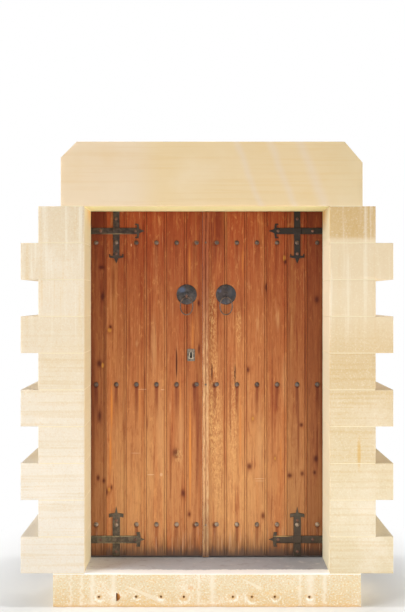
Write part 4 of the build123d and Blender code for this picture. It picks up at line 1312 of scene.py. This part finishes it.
rivet_head = turned(dome_profile(rivet_radius, rivet_height), 14)
for side, hand in hands:
    rivets = bmesh.new()
    for up, centre in ((-1, upper_arm), (1, lower_arm)):
        dress_cross(side, hand, up)
        places = ((cross_x + rivet_outer, centre), (cross_x - rivet_inner, centre),
                  (cross_x, centre + up * rivet_free[up]), (cross_x, centre - up * rivet_end))
        for x, z in places:
            spot_on_strap = (side * x, board_front - iron_thickness + 0.2 * MM, z)
            fresh = stamp(rivets, rivet_head, forged_place(spot_on_strap, x + z))
            hammer(fresh, 0.8 * MM, 160.0, x)
    finish_piece(rivets, f"{hand}_strap_rivets", rivet_iron, f"{hand}_leaf", (), 42.0)

# %% [markdown]
# Each ring hangs in a staple, a bar bent into a half loop. A bent bar is easiest to make as a
# curve with a round bevel, which then becomes a mesh. The staple's shank goes through the
# boards, and its tail is turned down on the back like that of a stud.

# %% Bend the staples
ring_top = {hand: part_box(f"{hand}_knocker_ring")[1] for side, hand in hands}
ring_low = {hand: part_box(f"{hand}_knocker_ring")[0] for side, hand in hands}
ring_bar = (ring_top["left"].y - ring_low["left"].y) / 2
staple_bar = 2.6 * MM


def curve_mesh(name, points, bevel, cyclic, handles="AUTO", steps=12):
    """A round bar along a smooth line, turned into a mesh."""
    curve = bpy.data.curves.new(name, "CURVE")
    curve.dimensions = "3D"
    curve.bevel_depth = bevel
    curve.bevel_resolution = 3
    curve.resolution_u = steps
    curve.use_fill_caps = True
    spline = curve.splines.new("BEZIER")
    spline.bezier_points.add(len(points) - 1)
    spline.use_cyclic_u = cyclic
    for knot, point in zip(spline.bezier_points, points):
        knot.co = point
        knot.handle_left_type = knot.handle_right_type = handles
    holder = add_object(name, curve)
    bpy.context.view_layer.update()
    mesh = bpy.data.meshes.new_from_object(holder.evaluated_get(bpy.context.evaluated_depsgraph_get()))
    bpy.data.objects.remove(holder)
    return mesh


def add_staple(shape, hand, x):
    """The loop that holds the ring, with its shank through the boards and its tail turned down."""
    ring_y = (ring_top[hand].y + ring_low[hand].y) / 2
    ring_z = ring_top[hand].z - ring_bar
    half = ring_bar + staple_bar + 0.9 * MM
    root = board_front - 5 * MM
    line = ((x, root, ring_z + half), (x, ring_y, ring_z + half), (x, ring_y - half, ring_z),
            (x, ring_y, ring_z - half), (x, root, ring_z - half))
    stamp(shape, curve_mesh("staple", line, staple_bar, False, "AUTO", 8), Matrix.Identity(4))
    add_shank(shape, x, ring_z, board_front - 2 * MM, board_back)


print("bar of a ring:", round(2 * ring_bar / MM, 2), "mm")

# %% [markdown]
# A knocker plate is a disc beaten into a shallow dome, with a fluted rim and a raised boss.
# The dome starts as a circle that grows ring by ring, so each ring's radius and rise can be
# chosen. Every fourth spoke is pressed in, and its neighbours half as far, for the flutes.

# %% Beat the knocker plates
plate_radius = 57.5 * MM
flute_count = 12
flute_depth = 1.6 * MM
flute_pinch = 0.022
boss_radius = 14.0 * MM
plate_rings = (
    (1.0, 0.0), (1.0, 2.4), (0.955, 4.4), (0.86, 5.9), (0.7, 7.3), (0.5, 8.6), (0.3, 9.2), (0.25, 9.3),
)
boss_rings = ((0.0, 7.0), (1.0, 8.0), (1.0, 10.4), (0.86, 12.4), (0.5, 13.4), (0.0, 13.7))


def beat_plate(hand):
    low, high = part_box(f"{hand}_knocker_plate")
    centre = Vector(((low.x + high.x) / 2, board_front, (low.z + high.z) / 2))
    shape = bmesh.new()
    bmesh.ops.create_circle(shape, cap_ends=True, segments=4 * flute_count, radius=plate_radius,
                            matrix=Matrix.Rotation(math.pi / 2, 4, "X"))
    outline = shape.edges[:]
    for share, rise in plate_rings[1:]:
        grown = bmesh.ops.extrude_edge_only(shape, edges=outline)["geom"]
        ring = only(bmesh.types.BMVert, grown)
        outline = [edge for edge in only(bmesh.types.BMEdge, grown) if set(edge.verts) <= set(ring)]
        for point in ring:
            angle = math.atan2(point.co.z, point.co.x)
            flute = 0.5 - 0.5 * math.cos(flute_count * angle)
            level = Vector((math.cos(angle), 0.0, math.sin(angle))) * plate_radius * share
            outer = max(0.0, (share - 0.5) * 2.0)
            point.co = level * (1.0 - flute_pinch * flute * outer)
            point.co.y = -rise * MM + flute * outer * flute_depth * min(1.0, rise / 3.0)
    bmesh.ops.contextual_create(shape, geom=outline)
    bmesh.ops.recalc_face_normals(shape, faces=shape.faces)
    for point in shape.verts:
        if point.co.y < -1.0 * MM:
            point.co.y += 0.5 * MM * noise.noise(point.co * 90.0 + centre * 7.0)
    bmesh.ops.translate(shape, vec=centre, verts=shape.verts)
    boss = turned([(boss_radius * share, rise * MM) for share, rise in boss_rings], 20)
    stamp(shape, boss, Matrix.Translation(centre))
    add_staple(shape, hand, centre.x)
    return finish_piece(shape, f"{hand}_beaten_plate", plate_iron, f"{hand}_leaf",
                        (f"{hand}_knocker_plate",), 38.0)


for side, hand in hands:
    beat_plate(hand)

# %% [markdown]
# The ring is a round bar bent into an upright oval. A torus can't be oval and keep its bar
# round, so the ring is a closed curve through four points, with a round bevel. It is worn
# thinner than it was forged. Its top passes through the staple, and it swings there.

# %% Bend the rings
ring_wear = 0.86
for side, hand in hands:
    low, high = ring_low[hand], ring_top[hand]
    centre = (low + high) / 2
    aside = Vector(((high.x - low.x) / 2 - ring_bar, 0.0, 0.0))
    upward = Vector((0.0, 0.0, (high.z - low.z) / 2 - ring_bar))
    line = (centre - aside, centre + upward, centre + aside, centre - upward)
    ring = bmesh.new()
    ring.from_mesh(curve_mesh(f"{hand}_oval", line, ring_wear * ring_bar, True))
    bmesh.ops.remove_doubles(ring, verts=ring.verts, dist=WELD)
    finish_piece(ring, f"{hand}_ring", ring_iron, f"{hand}_knocker",
                 (f"{hand}_knocker_ring",), 60.0)

# %% [markdown]
# The cover strip was run with a plane, so its edges are straight but worn round, most of all
# where hands push it. It is welded, softened and cut into short lengths, and its arrises are
# then bruised by noise. Its left side spreads by a hair towards the boards, so that no light
# shows between the leaves, which still pass each other.

# %% Wear the cover strip
strip_lip = 1.5 * MM


def worn_strip():
    shape = welded_copy("meeting_strip")
    soften(shape, 0.7 * MM)
    cut_grid(shape, strip_low, strip_high, (1.0, 1.0, 0.02))
    shape.normal_update()
    for point in shape.verts:
        if point.co.y < strip_high.y - 3 * MM:
            bruise = max(0.0, noise.noise(point.co * 26.0) - 0.1)
            point.co -= point.normal * 2.0 * MM * bruise
        elif point.co.x < strip_low.x + 1 * MM:
            point.co.x -= strip_lip
    return finish_piece(shape, "worn_cover_strip", strip_wood, "right_leaf",
                        ("meeting_strip",))


worn_strip()

# %% [markdown]
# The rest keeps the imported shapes, because sawn ledges and plain ironwork look right as they
# are. Only their edges are eased, by a width that suits each piece: broad on the timber, fine
# on the plate of the lock. Pieces that move past each other keep their clearances, because an
# eased edge only takes material away. One small piece is added: the flap that covers the
# keyhole from inside, without which daylight would show through the lock.

# %% Ease the remaining pieces
flap_half_width = 13 * MM
flap_half_height = 24 * MM
flap_thickness = 2.0 * MM
flap_taper = 0.25
flap_pin_drop = 6 * MM


def keyhole_flap():
    """The drop-shaped cover that hangs from a pin over the keyhole on the lock's back."""
    plate_low, plate_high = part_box("escutcheon")
    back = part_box("lock_case")[1].y
    x, z = (plate_low.x + plate_high.x) / 2, (plate_low.z + plate_high.z) / 2
    shape = bmesh.new()
    rim = bmesh.ops.create_circle(shape, cap_ends=True, segments=32, radius=1.0)["verts"]
    for point in rim:
        across, up = point.co.x, point.co.y
        width = flap_half_width * (1.0 - flap_taper * up)
        point.co = (x + width * across, back, z + flap_half_height * up)
    grown = bmesh.ops.extrude_face_region(shape, geom=shape.faces[:])["geom"]
    bmesh.ops.translate(shape, vec=(0, flap_thickness, 0), verts=only(bmesh.types.BMVert, grown))
    bmesh.ops.recalc_face_normals(shape, faces=shape.faces)
    soften(shape, 0.4 * MM)
    pin = Matrix.Translation((x, back + flap_thickness, z + flap_half_height - flap_pin_drop))
    stamp(shape, nail_head, pin @ Matrix.Rotation(math.pi, 4, "Z"))
    finish_piece(shape, "keyhole_flap", bolt_steel, "left_leaf")


keyhole_flap()
softened("frame_head", "eased_frame_head", head_wood, "frame", 2.0 * MM)
softened("escutcheon", "eased_keyhole_plate", keyhole_steel, "left_leaf", 0.5 * MM)
softened("lock_case", "eased_lock_case", lock_black, "left_leaf", 0.5 * MM)
softened("lock_keeper", "eased_lock_keeper", lock_black, "right_leaf", 0.5 * MM)
softened("lock_bolt", "eased_lock_bolt", bolt_steel, "lock_bolt", 0.6 * MM)
softened("bolt_guides", "eased_bolt_guides", back_iron, "right_leaf", 0.4 * MM)
softened("top_bolt", "eased_top_bolt", bolt_steel, "top_bolt", 0.4 * MM)
softened("bottom_bolt", "eased_bottom_bolt", bolt_steel, "bottom_bolt", 0.4 * MM)
for side, hand in hands:
    leaf, eased = f"{hand}_leaf", f"{hand}_eased_"
    softened(f"{hand}_ledges", eased + "ledges", ledge_wood, leaf, 1.2 * MM)
    softened(f"{hand}_frame_post", eased + "post", post_wood, "frame", 2.0 * MM)
    softened(f"{hand}_hinge_bands", eased + "bands", back_iron, leaf, 0.5 * MM)
    softened(f"{hand}_pintles", eased + "pintles", back_iron, "frame", 0.5 * MM)
